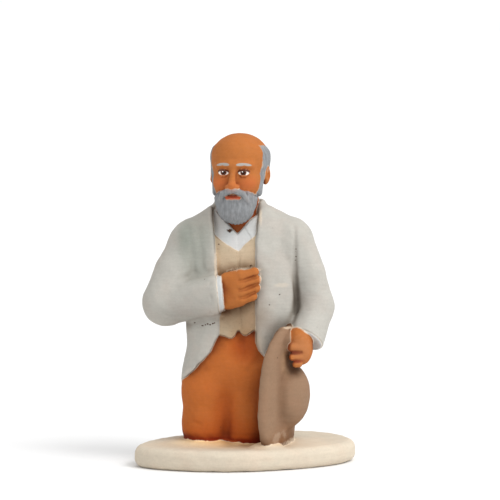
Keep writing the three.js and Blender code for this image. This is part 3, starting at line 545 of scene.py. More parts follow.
def hair_shell():
    shell = joined(1.0, loose_ball((0, 1.9, 2.9), (9.9, 11.3, 9.8)),
                   loose_ball((0, 1.6, 5.4), (9.85, 10.8, 7.3)))

    def fringe(x, y, z):
        top = z - 8.2 + 0.25 * np.maximum(y, 0)
        temple = -(y - 1) + 0.12 * (z - 4) - 3.9 - 0.17 * np.minimum(x, 0)
        return np.maximum(np.maximum(top, temple), -8.4 - z) * 0.8
    return on_head(common(shell, Form(fringe), 1.0))


def beard_form():
    beard = joined(2.0, loose_ball((0, -6, -11.6), (6.4, 4.4, 6)),
                   loose_ball((0, -5.2, -8.4), (7.4, 4.4, 4.6)))
    cheeks = Form(lambda x, y, z: (z + 4.4 + 0.75 * np.maximum(np.abs(x) - 2.6, 0)) * 0.8)
    return on_head(common(beard, cheeks, 0.8))


def add_head(clay):
    sides = (-1, 1)
    clay.add(rod((0, 0.4, 73), (0, 0, 80), 6.0, 5.8), "skin", 0.4)
    clay.add(head_ball((0, 1.5, 3.2), (9.4, 10.8, 9.4)), "skin", 0.4)
    clay.add(head_ball((0, 1.2, 5.4), (9.3, 10.2, 6.9)), "skin", 1.6)
    clay.add(head_ball((0, -2.8, -3.5), (7.8, 6.9, 9.2)), "skin", 2.0)
    for m in sides:
        clay.add(head_ball((4.3 * m, -5.5, -3.2), (3.2, 3, 3.2)), "skin", 1.8)
        clay.add(head_rod((1.2 * m, -9.1, 2.5), (5.4 * m, -7.2, 2.4), 1.15, 1), "skin", 1.6)
    for m in sides:
        clay.cut(head_ball((3.5 * m, -10.8, 0.1), (2.2, 2.0, 1.35)), 1.3)
    for m in sides:
        clay.add(head_ball((3.5 * m, -7.9, 0), (2.0, 1.5, 1.3)), "skin", 0.3)
        upper = [(1.7, -9.0, 0.3), (2.7, -9.4, 0.95), (4.2, -9.2, 0.95), (5.3, -8.4, 0.3)]
        lower = [(1.8, -8.9, -0.6), (2.9, -9.2, -1.1), (4.1, -9.1, -1.1), (5.2, -8.4, -0.5)]
        for line, size in ((upper, 0.34), (lower, 0.28)):
            for start, end in zip(line[:-1], line[1:]):
                clay.add(head_rod((start[0] * m, *start[1:]), (end[0] * m, *end[1:]), size), "skin", 0.4)
    clay.add(head_rod((0, -9.3, 1.2), (0, -11.9, -4.2), 0.8, 1.35), "skin", 1.2)
    for m in sides:
        clay.add(head_ball((1.35 * m, -10.9, -4.7), (1.1, 1.25, 0.95)), "skin", 0.6)
        clay.press(dent(of_head_point((0.7 * m, -11.4, -5.6)), (0.45, 0.5, 0.35), 0.3))
    clay.add(head_ball((0, -7.2, -7), (4.2, 2.9, 2.6)), "skin", 1.4)
    beard = beard_form()
    clay.add(beard, "hair", 0.5)
    clay.press(strands(beard, HEAD_AT, 6.5, 1.25, 0.14))
    for m in sides:
        clay.add(head_rod((7.3 * m, -3.4, -7), (8.5 * m, -1.2, 2), 1.3, 0.9), "hair", 0.7)
        clay.add(head_rod((0.4 * m, -11.3, -5.7), (3.4 * m, -10.2, -7), 1.15, 1), "hair", 0.4)
        clay.add(head_rod((3.4 * m, -10.2, -7), (4.6 * m, -8.8, -9.4), 1, 0.9), "hair", 0.4)
    clay.add(head_rod((-1.9, -10, -8.3), (1.9, -10, -8.3), 0.75), "lips", 0.3)
    hair = hair_shell()
    clay.add(hair, "hair", 0.6)
    clay.press(strands(hair, HEAD_AT, 9.5, 1.5, 0.12))
    for m in sides:
        outer = head_ball((8.9 * m, 0.9, -1), (1.5, 2.5, 3.5))
        inner = head_ball((10.4 * m, 0.2, -0.6), (1.1, 1.4, 2.2))
        clay.add(minus(outer, inner, 0.4), "skin", 0.5)


def add_fist(clay):
    """Fist closed on the chest: four fingers side by side that run on into the back of the hand."""
    fingers = [(46.1, 47.1, 48.3, 4.0), (48.1, 49.2, 50.9, 5.0), (50.9, 52.1, 53.5, 5.3),
               (53.6, 54.9, 56, 4.6)]
    back = [rod((-4, -12.1, root), (0.2, -13.2, low), 2.3, 2.0) for root, low, _, _ in fingers]
    clay.add(joined(2.4, *back, ball((0.6, -11.4, 51), (4.6, 2.6, 4.2))), "skin", 0.4)
    for _, low, high, end in fingers:
        clay.add(rod((0.4, -13.9, low), (end, -13.6, high), 1.5, 1.42), "skin", 0.4)
        clay.add(rod((end, -13.6, high), (end + 0.1, -10.6, high), 1.42, 1.3), "skin", 0.35)
    for (_, low, high, end), (_, next_low, next_high, _) in zip(fingers[:-1], fingers[1:]):
        near = (low + next_low) / 2
        far = (high + next_high) / 2
        clay.press(groove([(-0.2, -15.2, near - 0.2), (1.6, -15, near), (end + 0.6, -14.5, far)], 0.5, 0.5))


def add_holding_hand(clay):
    """Hand that holds the hat by the top of its brim."""
    back = joined(1.5, ball((19.5, -11, 31.6), (3.9, 3.9, 5.6)), ball((18.9, -10.8, 34.8), (4.2, 3.3, 3.4)))
    clay.add(back, "skin", 0.4)
    for z, start, tip, size in ((32, 19, 16.8, 1.5), (28.9, 19, 16.9, 1.3), (26.6, 18.8, 17.8, 1.1)):
        clay.add(rod((start, -13.5, z), (tip, -13.9, z), size + 0.1, size), "skin", 0.5)
    for z, start, tip in ((30.4, 15.4, 19.4), (27.6, 16.2, 20)):
        clay.press(groove([(start, -15, z), (tip, -14.6, z + 0.1)], 0.8, 0.45))


# hat held upright at the figure's side, crown outwards

HAT_HALF_HIGH = HAT_HEIGHT / 2 / SHARE
HAT_HALF_DEEP = HAT_DEPTH / 2 / SHARE
HAT_AT = (15.5, -6.5, GRIP_HEIGHT / SHARE - HAT_HALF_HIGH)
HAT_TURN = (0, 3.5, -18)
HAT_OVAL = 2.9


def on_hat(form):
    return placed(form, HAT_AT, HAT_TURN)


def hat_rim(y, z):
    u = np.abs(y / HAT_HALF_DEEP) + TINY
    v = np.abs(z / HAT_HALF_HIGH) + TINY
    k = (u ** HAT_OVAL + v ** HAT_OVAL) ** (1 / HAT_OVAL)
    return k * (k - 1) / np.sqrt((u / HAT_HALF_DEEP) ** 2 + (v / HAT_HALF_HIGH) ** 2)


def hat_face(x, y):
    return x + (HAT_CURL / SHARE) * (y / HAT_HALF_DEEP) ** 2


def hat_room():
    form = Form(lambda x, y, z: np.maximum(hat_rim(y, z), -hat_face(x, y) - 0.8),
                (-6, -HAT_HALF_DEEP, -HAT_HALF_HIGH), (12, HAT_HALF_DEEP, HAT_HALF_HIGH))
    return on_hat(form)


def add_hat(clay):
    half = BRIM_THICKNESS / 2 / SHARE
    brim = Form(lambda x, y, z: smooth_max(hat_rim(y, z), np.abs(hat_face(x, y)) - half, half) * 0.9,
                (-7, -HAT_HALF_DEEP, -HAT_HALF_HIGH), (2, HAT_HALF_DEEP, HAT_HALF_HIGH))
    clay.add(on_hat(brim), "hat", 0.5)
    clay.add(on_hat(ball((0, 0, -0.8), (6.9, 8.7, 10.4))), "hat", 1.8)
    clay.add(ball((13.8, -12.2, 33.4), (3.4, 1.9, 4.6)), "hat", 0.8)
    clay.add(on_hat(ball((-4.4, 3.2, -3), (5.5, 10.6, 15.5))), "trousers", 1.0)


# base with an oval outline, blunter at its right end

def base_power(c):
    return BASE_LEFT_POWER + (BASE_RIGHT_POWER - BASE_LEFT_POWER) * smooth_step(c / 2 + 0.5)


def base_middle():
    """Middle of the outline's own box, in metres, from the outline's centre."""
    t = np.linspace(0, 2 * math.pi, 721)
    c = np.cos(t)
    s = np.sin(t)
    power = base_power(c)
    reach = (np.abs(c) ** power + np.abs(s) ** power) ** (-1 / power)
    a = math.radians(BASE_TURN)
    u = BASE_LONG / 2 * c * reach
    v = BASE_SHORT / 2 * s * reach
    x = u * math.cos(a) - v * math.sin(a)
    y = u * math.sin(a) + v * math.cos(a)
    return (x.min() + x.max()) / 2, (y.min() + y.max()) / 2


def base_form():
    middle = base_middle()
    cx = (-middle[0] - STAND[0]) / SHARE
    cy = (-middle[1] - STAND[1]) / SHARE
    a = math.radians(BASE_TURN)
    rounding = BASE_ROUNDING / SHARE
    hx = BASE_LONG / 2 / SHARE - rounding
    hy = BASE_SHORT / 2 / SHARE - rounding
    half = BASE_THICKNESS / 2 / SHARE

    def distance(x, y, z):
        u = ((x - cx) * math.cos(a) + (y - cy) * math.sin(a)) / hx
        v = (-(x - cx) * math.sin(a) + (y - cy) * math.cos(a)) / hy
        c = u / np.sqrt(u * u + v * v + TINY)
        power = base_power(c)
        q = ((np.abs(u) + TINY) ** power + (np.abs(v) + TINY) ** power) ** (1 / power)
        slope = np.sqrt((u / hx) ** 2 + (v / hy) ** 2) / np.maximum(q, 1e-3)
        flat = (q - 1) / np.maximum(slope, 1 / hx)
        up = np.abs(z + half) - half + rounding
        out = np.sqrt(np.maximum(flat, 0) ** 2 + np.maximum(up, 0) ** 2)
        return out + np.minimum(np.maximum(flat, up), 0) - rounding
    reach = BASE_LONG / 2 / SHARE
    return Form(distance, (cx - reach, cy - reach, -2 * half), (cx + reach, cy + reach, 0))


def sculpture():
    clay = Sculpture()
    add_torso(clay)
    add_legs(clay)
    clay.cut(hat_room(), 0.5)
    add_arms(clay)
    add_folds(clay)
    mound = ball((0, 0, 0), (25.5, 15.5, 1.8 + MOUND_RISE / SHARE))
    clay.add(placed(mound, (-5, 1.8, -1.8), (0, 0, BASE_TURN)), "base", 1.0)
    clay.add(ball((8.8, -14.6, -2.2), (7.2, 5.8, 3.9)), "base", 1.2)
    clay.add(base_form(), "base", 0.6)
    add_head(clay)
    add_fist(clay)
    add_holding_hand(clay)
    add_hat(clay)
    clay.press(Form(uneven))
    floor = Form(lambda x, y, z: z + BASE_THICKNESS / SHARE)
    clay.cut(floor, 0)
    return clay


# the fine surface

def neighbours(grid, axis):
    """The grid without its last layer and without its first one, along an axis."""
    before = [slice(None)] * 3
    after = [slice(None)] * 3
    before[axis] = slice(0, -1)
    after[axis] = slice(1, None)
    return grid[tuple(before)], grid[tuple(after)]


def grown(mask):
    """Cells with a marked corner, for a grid of corners."""
    out = mask.copy()
    for axis in range(3):
        before, after = neighbours(out, axis)
        before |= after
    return out


def distance_grid(clay, low, high, cell):
    """Distances on a fine grid: worked out near the surface, and taken from a wide grid elsewhere."""
    times = 3
    wide = times * cell
    n = np.ceil((high - low) / wide).astype(int) + 1
    places = np.stack(np.meshgrid(*[np.arange(k) for k in n], indexing="ij"), -1).reshape(-1, 3)
    rough = clay.at(low + wide * places).reshape(n)
    near = grown(np.abs(rough) < 2.2 * wide)
    for axis in range(3):
        rough = np.repeat(rough, times, axis)
        near = np.repeat(near, times, axis)
    rough[near] = clay.at(low + cell * np.argwhere(near))
    return rough


def crossings(d, cells):
    """Mean of the places where the surface crosses the edges of each cell, in cells."""
    total = np.zeros((len(cells), 3))
    hits = np.zeros(len(cells))
    for axis in range(3):
        others = [k for k in range(3) if k != axis]
        for corner in range(4):
            start = np.zeros(3, int)
            start[others[0]] = corner & 1
            start[others[1]] = corner >> 1
            end = start.copy()
            end[axis] = 1
            a = d[tuple((cells + start).T)]
            b = d[tuple((cells + end).T)]
            cross = (a < 0) != (b < 0)
            share = np.where(cross, a / np.where(cross, a - b, 1), 0)
            place = np.zeros((len(cells), 3)) + start
            place[:, axis] = share
            total += place * cross[:, None]
            hits += cross
    return total / hits[:, None]


def surface(clay, low, high, cell):
    """Points and four-sided faces over the clay, one point in each cell that the surface passes through."""
    d = distance_grid(clay, low, high, cell)
    inside = d < 0
    n = np.array(d.shape) - 1
    count = np.zeros(n, np.int8)
    for i in (0, 1):
        for j in (0, 1):
            for k in (0, 1):
                count += inside[i:n[0] + i, j:n[1] + j, k:n[2] + k]
    cells = np.argwhere((count > 0) & (count < 8))
    index = np.full(n, -1, np.int32)
    index[tuple(cells.T)] = np.arange(len(cells))
    points = low + cell * (cells + crossings(d, cells))
    faces = []
    for axis, u, v in ((0, 1, 2), (1, 2, 0), (2, 0, 1)):
        before, after = neighbours(inside, axis)
        e = np.argwhere(before != after)
        e = e[(e[:, u] > 0) & (e[:, v] > 0) & (e[:, u] < n[u]) & (e[:, v] < n[v])]
        ring = []
        for du, dv in ((1, 1), (0, 1), (0, 0), (1, 0)):
            c = e.copy()
            c[:, u] -= du
            c[:, v] -= dv
            ring.append(index[tuple(c.T)])
        ring = np.stack(ring, 1)
        hollow = ~inside[tuple(e.T)]
        ring[hollow] = ring[hollow][:, ::-1]
        faces.append(ring)
    return settled(clay, points, cell), np.concatenate(faces)


def slopes(clay, points, step=0.05):
    """Direction in which the distance grows, at each point."""
    columns = []
    for axis in np.eye(3):
        columns.append((clay.at(points + axis * step) - clay.at(points - axis * step)) / (2 * step))
    return np.stack(columns, 1)


def settled(clay, points, cell):
    """Points moved onto the surface, never further than part of a cell."""
    for _ in range(2):
        d = clay.at(points)
        slope = slopes(clay, points)
        steep = np.maximum((slope * slope).sum(1), 0.25)
        move = -(d / steep)[:, None] * slope
        length = np.linalg.norm(move, axis=1, keepdims=True)
        points = points + move * np.minimum(1, 0.4 * cell / np.maximum(length, 1e-9))
    return points


def largest_part(points, faces):
    """Only the largest connected part, so that no crumb is left."""
    label = np.arange(len(points))
    edges = np.concatenate([faces[:, [0, 1]], faces[:, [1, 2]], faces[:, [2, 3]]])
    changed = True
    while changed:
        lowest = np.minimum(label[edges[:, 0]], label[edges[:, 1]])
        before = label.copy()
        np.minimum.at(label, edges[:, 0], lowest)
        np.minimum.at(label, edges[:, 1], lowest)
        label = label[label]
        changed = (label != before).any()
    names, counts = np.unique(label, return_counts=True)
    keep = label == names[counts.argmax()]
    renamed = np.cumsum(keep) - 1
    return points[keep], renamed[faces[keep[faces[:, 0]]]]


def to_metres(points):
    return points * SHARE + np.array(STAND)


def add_object(name, data):
    thing = bpy.data.objects.new(name, data)
    bpy.context.scene.collection.objects.link(thing)
    return thing


def mesh_object(name, points, faces):
    mesh = bpy.data.meshes.new(name)
    mesh.from_pydata(points.tolist(), [], faces.tolist())
    mesh.validate()
    mesh.update()
    return add_object(name, mesh)


def thinned(thing, triangles):
    """Merges points where the surface is flattest, until the wanted number of triangles is left."""
    modifier = thing.modifiers.new("thin", "DECIMATE")
    modifier.ratio = min(1.0, triangles / (2 * len(thing.data.polygons)))
    graph = bpy.context.evaluated_depsgraph_get()
    mesh = bpy.data.meshes.new_from_object(thing.evaluated_get(graph))
    thing.modifiers.clear()
    old = thing.data
    thing.data = mesh
    bpy.data.meshes.remove(old)
    mesh.name = thing.name


def store(mesh, name, values):
    layer = mesh.attributes.new(name, "FLOAT", "POINT")
    layer.data.foreach_set("value", values.astype(np.float32))


def openness(clay, points, normals, reach, ways):
    """How free the space is in front of each point: one in the open, near none deep in a hollow."""
    total = np.clip(clay.at(points + reach * normals) / reach, -1, 1)
    aside = np.cross(normals, vec(0.31, 0.52, 0.8))
    aside /= np.linalg.norm(aside, axis=1, keepdims=True) + TINY
    across = np.cross(normals, aside)
    for k in range(ways - 1):
        a = 2 * math.pi * k / (ways - 1)
        leaning = (normals + math.cos(a) * aside + math.sin(a) * across) / math.sqrt(2)
        total += np.clip(clay.at(points + reach * leaning) / (reach / math.sqrt(2)), -1, 1)
    return total / ways


def make_santon():
    clay = sculpture()
    points, faces = surface(clay, vec(*ROOM_LOW), vec(*ROOM_HIGH), FINE_CELL)
    points, faces = largest_part(points, faces)
    thing = mesh_object("santon_clay", to_metres(points), faces)
    thinned(thing, TRIANGLES)
    mesh = thing.data
    flat = np.empty(3 * len(mesh.vertices), np.float32)
    mesh.vertices.foreach_get("co", flat)
    points = (flat.reshape(-1, 3).astype(float) - np.array(STAND)) / SHARE
    for name, distance in clay.paints(points).items():
        store(mesh, "to_" + name, distance)
    slope = slopes(clay, points, 0.1)
    slope /= np.maximum(np.linalg.norm(slope, axis=1, keepdims=True), TINY)
    # how open the space in front of each point is, near and wide: the paint turns to painted shade where it
    # is low
    store(mesh, "open", openness(clay, points, slope, OPEN_REACH, 1))
    store(mesh, "wide", openness(clay, points, slope, WIDE_REACH, 5))
    store(mesh, "edge", -clay.at(points - EDGE_REACH * slope) / EDGE_REACH)
    mesh.shade_smooth()
    return thing


# paint

def rgb(red, green, blue):
    """Colour from screen values, 0 to 255, as the shader needs it."""
    screen = [value / 255 for value in (red, green, blue)]
    return (*[v / 12.92 if v <= 0.04045 else ((v + 0.055) / 1.055) ** 2.4 for v in screen], 1.0)


# each paint as lit in the open, and as painted shade where it lies deep in a hollow
PAINTS = {
    "base": (rgb(206, 194, 175), rgb(200, 182, 158)),
    "trousers": (rgb(181, 100, 44), rgb(100, 32, 6)),
    "coat": (rgb(179, 176, 168), rgb(138, 131, 121)),
    "vest": (rgb(186, 168, 142), rgb(116, 88, 60)),
    "white": (rgb(197, 199, 198), rgb(188, 186, 182)),
    "skin": (rgb(176, 106, 52), rgb(128, 60, 24)),
    "shoe": (rgb(70, 52, 42), rgb(36, 24, 18)),
    "hair": (rgb(136, 138, 140), rgb(92, 92, 93)),
    "lips": (rgb(178, 76, 44), rgb(130, 48, 28)),
    "hat": (rgb(143, 114, 90), rgb(92, 64, 44)),
}
BARE_CLAY = rgb(140, 78, 46)
PALE_GROUND = rgb(226, 208, 184)
WORN_EDGE = rgb(240, 225, 205)
WARM_TINT = (1.04, 0.975, 0.96, 1.0)
PIT = rgb(70, 48, 36)
LASH = rgb(92, 48, 28)
EYE_WHITE = rgb(236, 230, 222)
IRIS = rgb(84, 40, 20)
PUPIL = rgb(34, 18, 12)
GLINT = rgb(250, 248, 244)
BROW = rgb(168, 164, 158)
BLUSH = rgb(206, 104, 60)
MOUTH = rgb(120, 44, 28)

# heights and depths in metres: where the head starts, how soft that line is, and where the back starts
HEAD_CLEAR = 0.0505
HEAD_SOFT = 0.001
BACK_FROM = 0.004
BACK_FULL = 0.007
# in shares: how much further the coat reaches at the back, half the width of a paint's own edge,
# and a distance at which no other paint is near
COAT_BEHIND = 1.6
PAINT_EDGE = 0.07
FAR_APART = 9.0

# tints that darken the paint under them as painted shade, one that lifts it as painted light, and one of bare
# clay
GREEN_SHADE = (0.5, 0.57, 0.54, 1.0)
GREY_SHADE = (0.55, 0.55, 0.55, 1.0)
CREASE_SHADE = (0.3, 0.26, 0.22, 1.0)
ORANGE_SHADE = (0.9, 0.55, 0.2, 1.0)
BROWN_SHADE = (0.5, 0.38, 0.28, 1.0)
DEEP_SHADE = (0.3, 0.14, 0.08, 1.0)
RED_SHADE = (0.6, 0.2, 0.08, 1.0)
CLAY_SHADE = (1.0, 0.84, 0.7, 1.0)
PAINTED_LIGHT = (1.8, 1.9, 1.8, 1.0)
# soft places with each tint (painted shade, painted light, bare clay): where and how wide in shares, how
# strong
PAINTED_SHADE_LIGHT_AND_CLAY_SPOTS = {
    # painted shade on the left shoulder, in its fold, and on the chest above the forearm
    GREEN_SHADE: [
        ((-14.5, -7, 66), (5.4, 7, 9), 0.62), ((-13, -10, 56), (4, 4, 4), 0.35),
        ((-17.6, -5, 66.5), (2, 6, 5.5), 0.5),
    ],
    # painted shade beside the right armhole's crease, and on and under the left forearm
    GREY_SHADE: [
        ((19.8, -7, 49), (3, 4, 10), 0.45), ((-18, -8, 42), (9, 6, 3.4), 0.4),
        ((-15, -12, 48), (8, 5, 5), 0.22),
    ],
    # painted shade in the crease of the right armhole
    CREASE_SHADE: [((18, -6, 58), (0.9, 4, 7), 0.25), ((18.1, -6, 47), (1, 4, 6), 0.75)],
    # painted shade on the trousers: towards the base, in the crease between the legs, under the waistcoat
    ORANGE_SHADE: [
        ((-3, -8, 1), (18, 9, 6), 0.58), ((-4.5, -8, 9), (3.2, 5, 8), 0.5),
        ((1.8, -9, 32), (4.6, 4, 4.4), 0.6),
    ],
    # painted shade on the waistcoat under and above the fist, on the fist, on the trousers beside the hat and
    # in the hat's crease
    BROWN_SHADE: [
        ((2, -10, 41), (7, 4, 6), 0.68), ((1.5, -11, 57.6), (5, 3, 3.5), 0.12),
        ((6, -9, 10), (2.6, 6, 13), 0.4), ((13.4, -15, 17), (1.5, 5, 11), 0.4),
        ((1, -14, 50.5), (6, 3, 6), 0.14),
    ],
    # painted shade in the deepest corners: under the waistcoat's points, at the foot of the leg crease, under
    # the fist
    DEEP_SHADE: [
        ((1.8, -9, 31.5), (3.6, 4, 4.4), 0.3), ((-3.8, -8.4, 3), (1.9, 4, 9), 0.3),
        ((-4.6, -11.5, 43.2), (1.7, 3, 1.3), 0.8),
    ],
    # painted shade in the gaps between the fingers that hold the hat
    RED_SHADE: [((17.3, -14.6, 30.4), (2.3, 2, 0.55), 0.9), ((18.2, -14.4, 27.6), (2.2, 2, 0.5), 0.9)],
    CLAY_SHADE: [((-7.1, -10.2, 59.5), (0.9, 2.4, 7), 0.6), ((12.4, -14.5, 2.2), (3, 4, 1.6), 0.5)],
    # painted light on the hat's brim beside the fingers and along the trousers' foot, lifting the shade there
    PAINTED_LIGHT: [((15, -15, 27), (1.6, 3, 4), 0.7), ((-4, -10, 1.5), (16, 8, 1.2), 1)],
}
# pale strokes at paint edges, and painted light: where and how wide in shares, how far they lean, how strong
STROKES = [
    ((-7.7, -10.4, 60), (0.5, 2.4, 8), 0, 0.55), ((-3.9, -10.6, 56.1), (2.2, 1.2, 0.5), -34, 0.75),
    ((1.7, -11.2, 56.6), (4.8, 2.4, 0.7), 0, 0.8), ((6.6, -12.4, 53.8), (0.4, 3, 2.8), 0, 0.5),
    ((15.7, -12.4, 38.1), (1.8, 2.4, 0.35), 0, 0.5), ((19.4, -14.4, 31), (3.4, 3, 4.6), 0, 0.05),
    # a painted pool of light on the right of the base's top; then a pale line at the right collar, partly
    # painted light in the shaded gap there
    ((21.5, -5, 0.4), (8.5, 11, 1.2), 0, 0.55), ((6.5, -7, 74.6), (0.7, 3, 3.4), 0, 0.6),
    ((13.5, -9.3, 51.4), (2.4, 3, 0.7), 0, 0.25), ((11.7, -15, 3), (1.1, 4, 2), 30, 0.18),
    ((14.6, -14, 3.4), (0.8, 4, 1.8), -25, 0.16),
]
# places of pinholes and small chips in the paint, in shares, each with its size
PITS = [
    ((-3.3, -6.9, 68.8), 0.8), ((-6.8, -10, 64.4), 0.4), ((-7, -10.2, 62.9), 0.34), ((3.5, -10.6, 57.6), 0.5),
    ((12.7, -10.6, 48.4), 0.34), ((-14.5, -9.4, 39.2), 0.3), ((-12, -9.4, 38.4), 0.3),
    ((-11, -9.4, 38.7), 0.26), ((-10.3, -9.4, 39), 0.3), ((-9.5, -9.4, 38.8), 0.26),
    ((-8.7, -9.4, 39.2), 0.3), ((-8.1, -9.4, 39.4), 0.24), ((17.9, -8.6, 62.8), 0.32),
    ((17.9, -8.6, 62), 0.28), ((17.9, -8.6, 60.4), 0.34), ((17.8, -8.6, 59.2), 0.28),
    ((7.5, -7, 75.4), 0.3), ((10.4, -8.6, 69.6), 0.22),
]
# metres between stray pinholes
PINHOLE_SPACING = 0.0016


class Number:
    """Number that shader nodes work out, for use in plain sums."""

    def __init__(self, painter, socket):
        self.painter = painter
        self.socket = socket

    def __add__(self, other):
        return self.painter.math("ADD", self, other)

    def __sub__(self, other):
        return self.painter.math("SUBTRACT", self, other)

    def __rsub__(self, other):
        return self.painter.math("SUBTRACT", other, self)

    def __mul__(self, other):
        return self.painter.math("MULTIPLY", self, other)


class Painter:
    """Adds shader nodes and links them."""

    def __init__(self, tree, place="Object"):
        self.tree = tree
        self.place = self.node("TexCoord", {})[place]

    def put(self, socket, value):
        if isinstance(value, Number):
            value = value.socket
        if isinstance(value, bpy.types.NodeSocket):
            self.tree.links.new(value, socket)
        else:
            socket.default_value = value

    def node(self, kind, inputs, **settings):
        """Outputs of a new node that has these settings and inputs."""
        node = self.tree.nodes.new("ShaderNode" + kind)
        for name, value in settings.items():
            setattr(node, name, value)
        for name, value in inputs.items():
            self.put(node.inputs[name], value)
        return node.outputs

    def math(self, operation, a, b=0.0, clamp=False):
        return Number(self, self.node("Math", {0: a, 1: b}, operation=operation, use_clamp=clamp)[0])

    def attribute(self, name):
        return Number(self, self.node("Attribute", {}, attribute_name=name)["Fac"])

    def along(self, axis):
        return Number(self, self.node("SeparateXYZ", {0: self.place})[axis])

    def noise(self, size, detail=3.0, stretch=(1, 1, 1), roughness=0.5):
        """Noise whose lumps are about this many metres across."""
        place = self.node("Mapping", {"Scale": stretch, "Vector": self.place})[0]
        inputs = {"Vector": place, "Scale": 1 / size, "Detail": detail, "Roughness": roughness}
        return Number(self, self.node("TexNoise", inputs)["Fac"])

    def ramp(self, value, low, high, to_low=0.0, to_high=1.0):
        inputs = {"Value": value, "From Min": low, "From Max": high, "To Min": to_low, "To Max": to_high}
        return Number(self, self.node("MapRange", inputs, interpolation_type="SMOOTHSTEP")[0])

    def mix(self, factor, a, b, blend="MIX"):
        inputs = {"Factor": factor, "A": a, "B": b}
        return self.node("Mix", inputs, data_type="RGBA", blend_type=blend)["Result"]

    def tone(self, colour, value):
        """Colour made darker or lighter by a value near 1."""
        return self.node("VectorMath", {0: colour, "Scale": value}, operation="SCALE")[0]

    def spot(self, at, radii, turn, soft, waver=None):
        """Share of paint in a round spot; at and radii in shares, turn in degrees."""
        centre = Vector(at) * SHARE + STAND
        wide = Vector(radii) * SHARE
        if any(turn):
            turned = [math.radians(value) for value in turn]
            inputs = {"Location": centre, "Rotation": turned, "Scale": wide, "Vector": self.place}
            local = self.node("Mapping", inputs, vector_type="TEXTURE")[0]
        else:
            # the same without a turn; the renderer has room for many more of these
            times = [1 / value for value in wide]
            offset = [-middle / value for middle, value in zip(centre, wide)]
            local = self.node("VectorMath", {0: self.place, 1: times, 2: offset}, operation="MULTIPLY_ADD")[0]
        away = Number(self, self.node("VectorMath", {0: local}, operation="LENGTH")["Value"])
        if waver is not None:
            away = away + waver
        return self.ramp(away, 1 + soft, 1 - soft)

    def together(self, shares):
        """Share covered when several are laid one over another."""
        clear = 1.0
        for share in shares:
            clear = (1.0 - share) * clear
        return 1.0 - clear


def paint_layers(p):
    """Each paint where its own form is nearest, with painted shade in hollows, and how near the next paint
    is.
    """
    waver = p.noise(0.0011, 5.0, roughness=0.6) - 0.5
    ragged_base = (p.noise(0.0016, 4.0) - 0.5) * 2.2
    # painted shade: how far each paint turns to its darker copy, deep in hollows and creases
    shade = p.ramp(p.attribute("wide"), 0.88, 0.06) * 0.95
    shade = p.math("ADD", shade, p.ramp(p.attribute("open"), 0.85, 0.0) * 0.12, clamp=True)
    behind = p.ramp(p.along("Y"), BACK_FROM, BACK_FULL, 0, COAT_BEHIND)
    colour = p.mix(shade, *PAINTS["base"])
    nearest = p.attribute("to_base")
    border = FAR_APART
    for name in list(PAINTS)[1:]:
        distance = p.attribute("to_" + name)
        ahead = nearest - distance + waver * (0.9 if name in ("skin", "lips") else 0.6)
        if name == "coat":
            ahead = ahead + behind
        if name in ("trousers", "hat", "shoe"):
            ahead = ahead + p.ramp(p.attribute("to_base"), 1.5, 0.2) * ragged_base
        paint = p.mix(shade, *PAINTS[name])
        if name == "hair":
            paint = p.tone(paint, p.ramp(p.noise(0.0004, 3.0, (1, 1, 0.3)), 0.3, 0.7, 0.86, 1.12))
        if name == "vest":
            paint = p.tone(paint, p.ramp(p.noise(0.00032, 2.0), 0.6, 0.72, 1.02, 0.88))
        colour = p.mix(p.ramp(ahead, -PAINT_EDGE, PAINT_EDGE), colour, paint)
        both = p.math("MAXIMUM", p.math("MINIMUM", nearest, distance), 0.0)
        border = p.math("MINIMUM", border, p.math("ABSOLUTE", ahead) + both)
        nearest = p.math("MINIMUM", nearest, distance)
    return colour, border


def paint_face(p, colour):
    waver = (p.noise(0.0005, 3.0) - 0.5) * 0.35

    def face_spot(at, radii, soft, lean=0, rough=None):
        return p.spot(of_head_point(at), of_head(radii), (0, lean, HEAD_TURN[2]), soft, rough)

    def dab(colour, at, radii, tint, soft=0.12, lean=0, strength=1.0, inside=None):
        share = face_spot(at, radii, soft, lean, waver)
        if inside is not None:
            share = share * inside
        if strength < 1:
            share = share * strength
        return p.mix(share, colour, tint)

    colour = dab(colour, (0, -11.8, -4.4), (1.8, 2, 1.6), BLUSH, 0.9, strength=0.35)
    for m in (-1, 1):
        colour = dab(colour, (4.9 * m, -8.2, -3.6), (2.8, 3, 2.2), BLUSH, 0.9, strength=0.45)
        colour = dab(colour, (3.5 * m, -9.2, 0.36), (2.15, 1.9, 0.9), LASH, 0.1)
        white = face_spot((3.5 * m, -9.2, -0.15), (1.8, 1.9, 0.7), 0.1)
        colour = p.mix(white, colour, EYE_WHITE)
        colour = dab(colour, (3.4 * m, -9.3, 0.05), (1.05, 2, 1.05), IRIS, 0.12, inside=white)
        colour = dab(colour, (3.4 * m, -9.3, 0.05), (0.52, 2, 0.52), PUPIL, 0.2, inside=white)
        colour = dab(colour, (3.4 * m - 0.3, -9.3, 0.3), (0.22, 2, 0.2), GLINT, 0.25)
        colour = dab(colour, (2.6 * m, -9.3, 2.75), (1.6, 2.2, 0.5), BROW, 0.2, lean=-4 * m)
        colour = dab(colour, (4.5 * m, -8.9, 2.7), (1.6, 2.2, 0.42), BROW, 0.2, lean=11 * m)
        # dark dabs in the nostrils: painted shade
        colour = dab(colour, (0.7 * m, -11.3, -5.6), (0.4, 0.8, 0.28), LASH, 0.5, strength=0.8)
    return dab(colour, (0, -10.6, -8.3), (1.9, 1.6, 0.12), MOUTH, 0.5, strength=0.8)


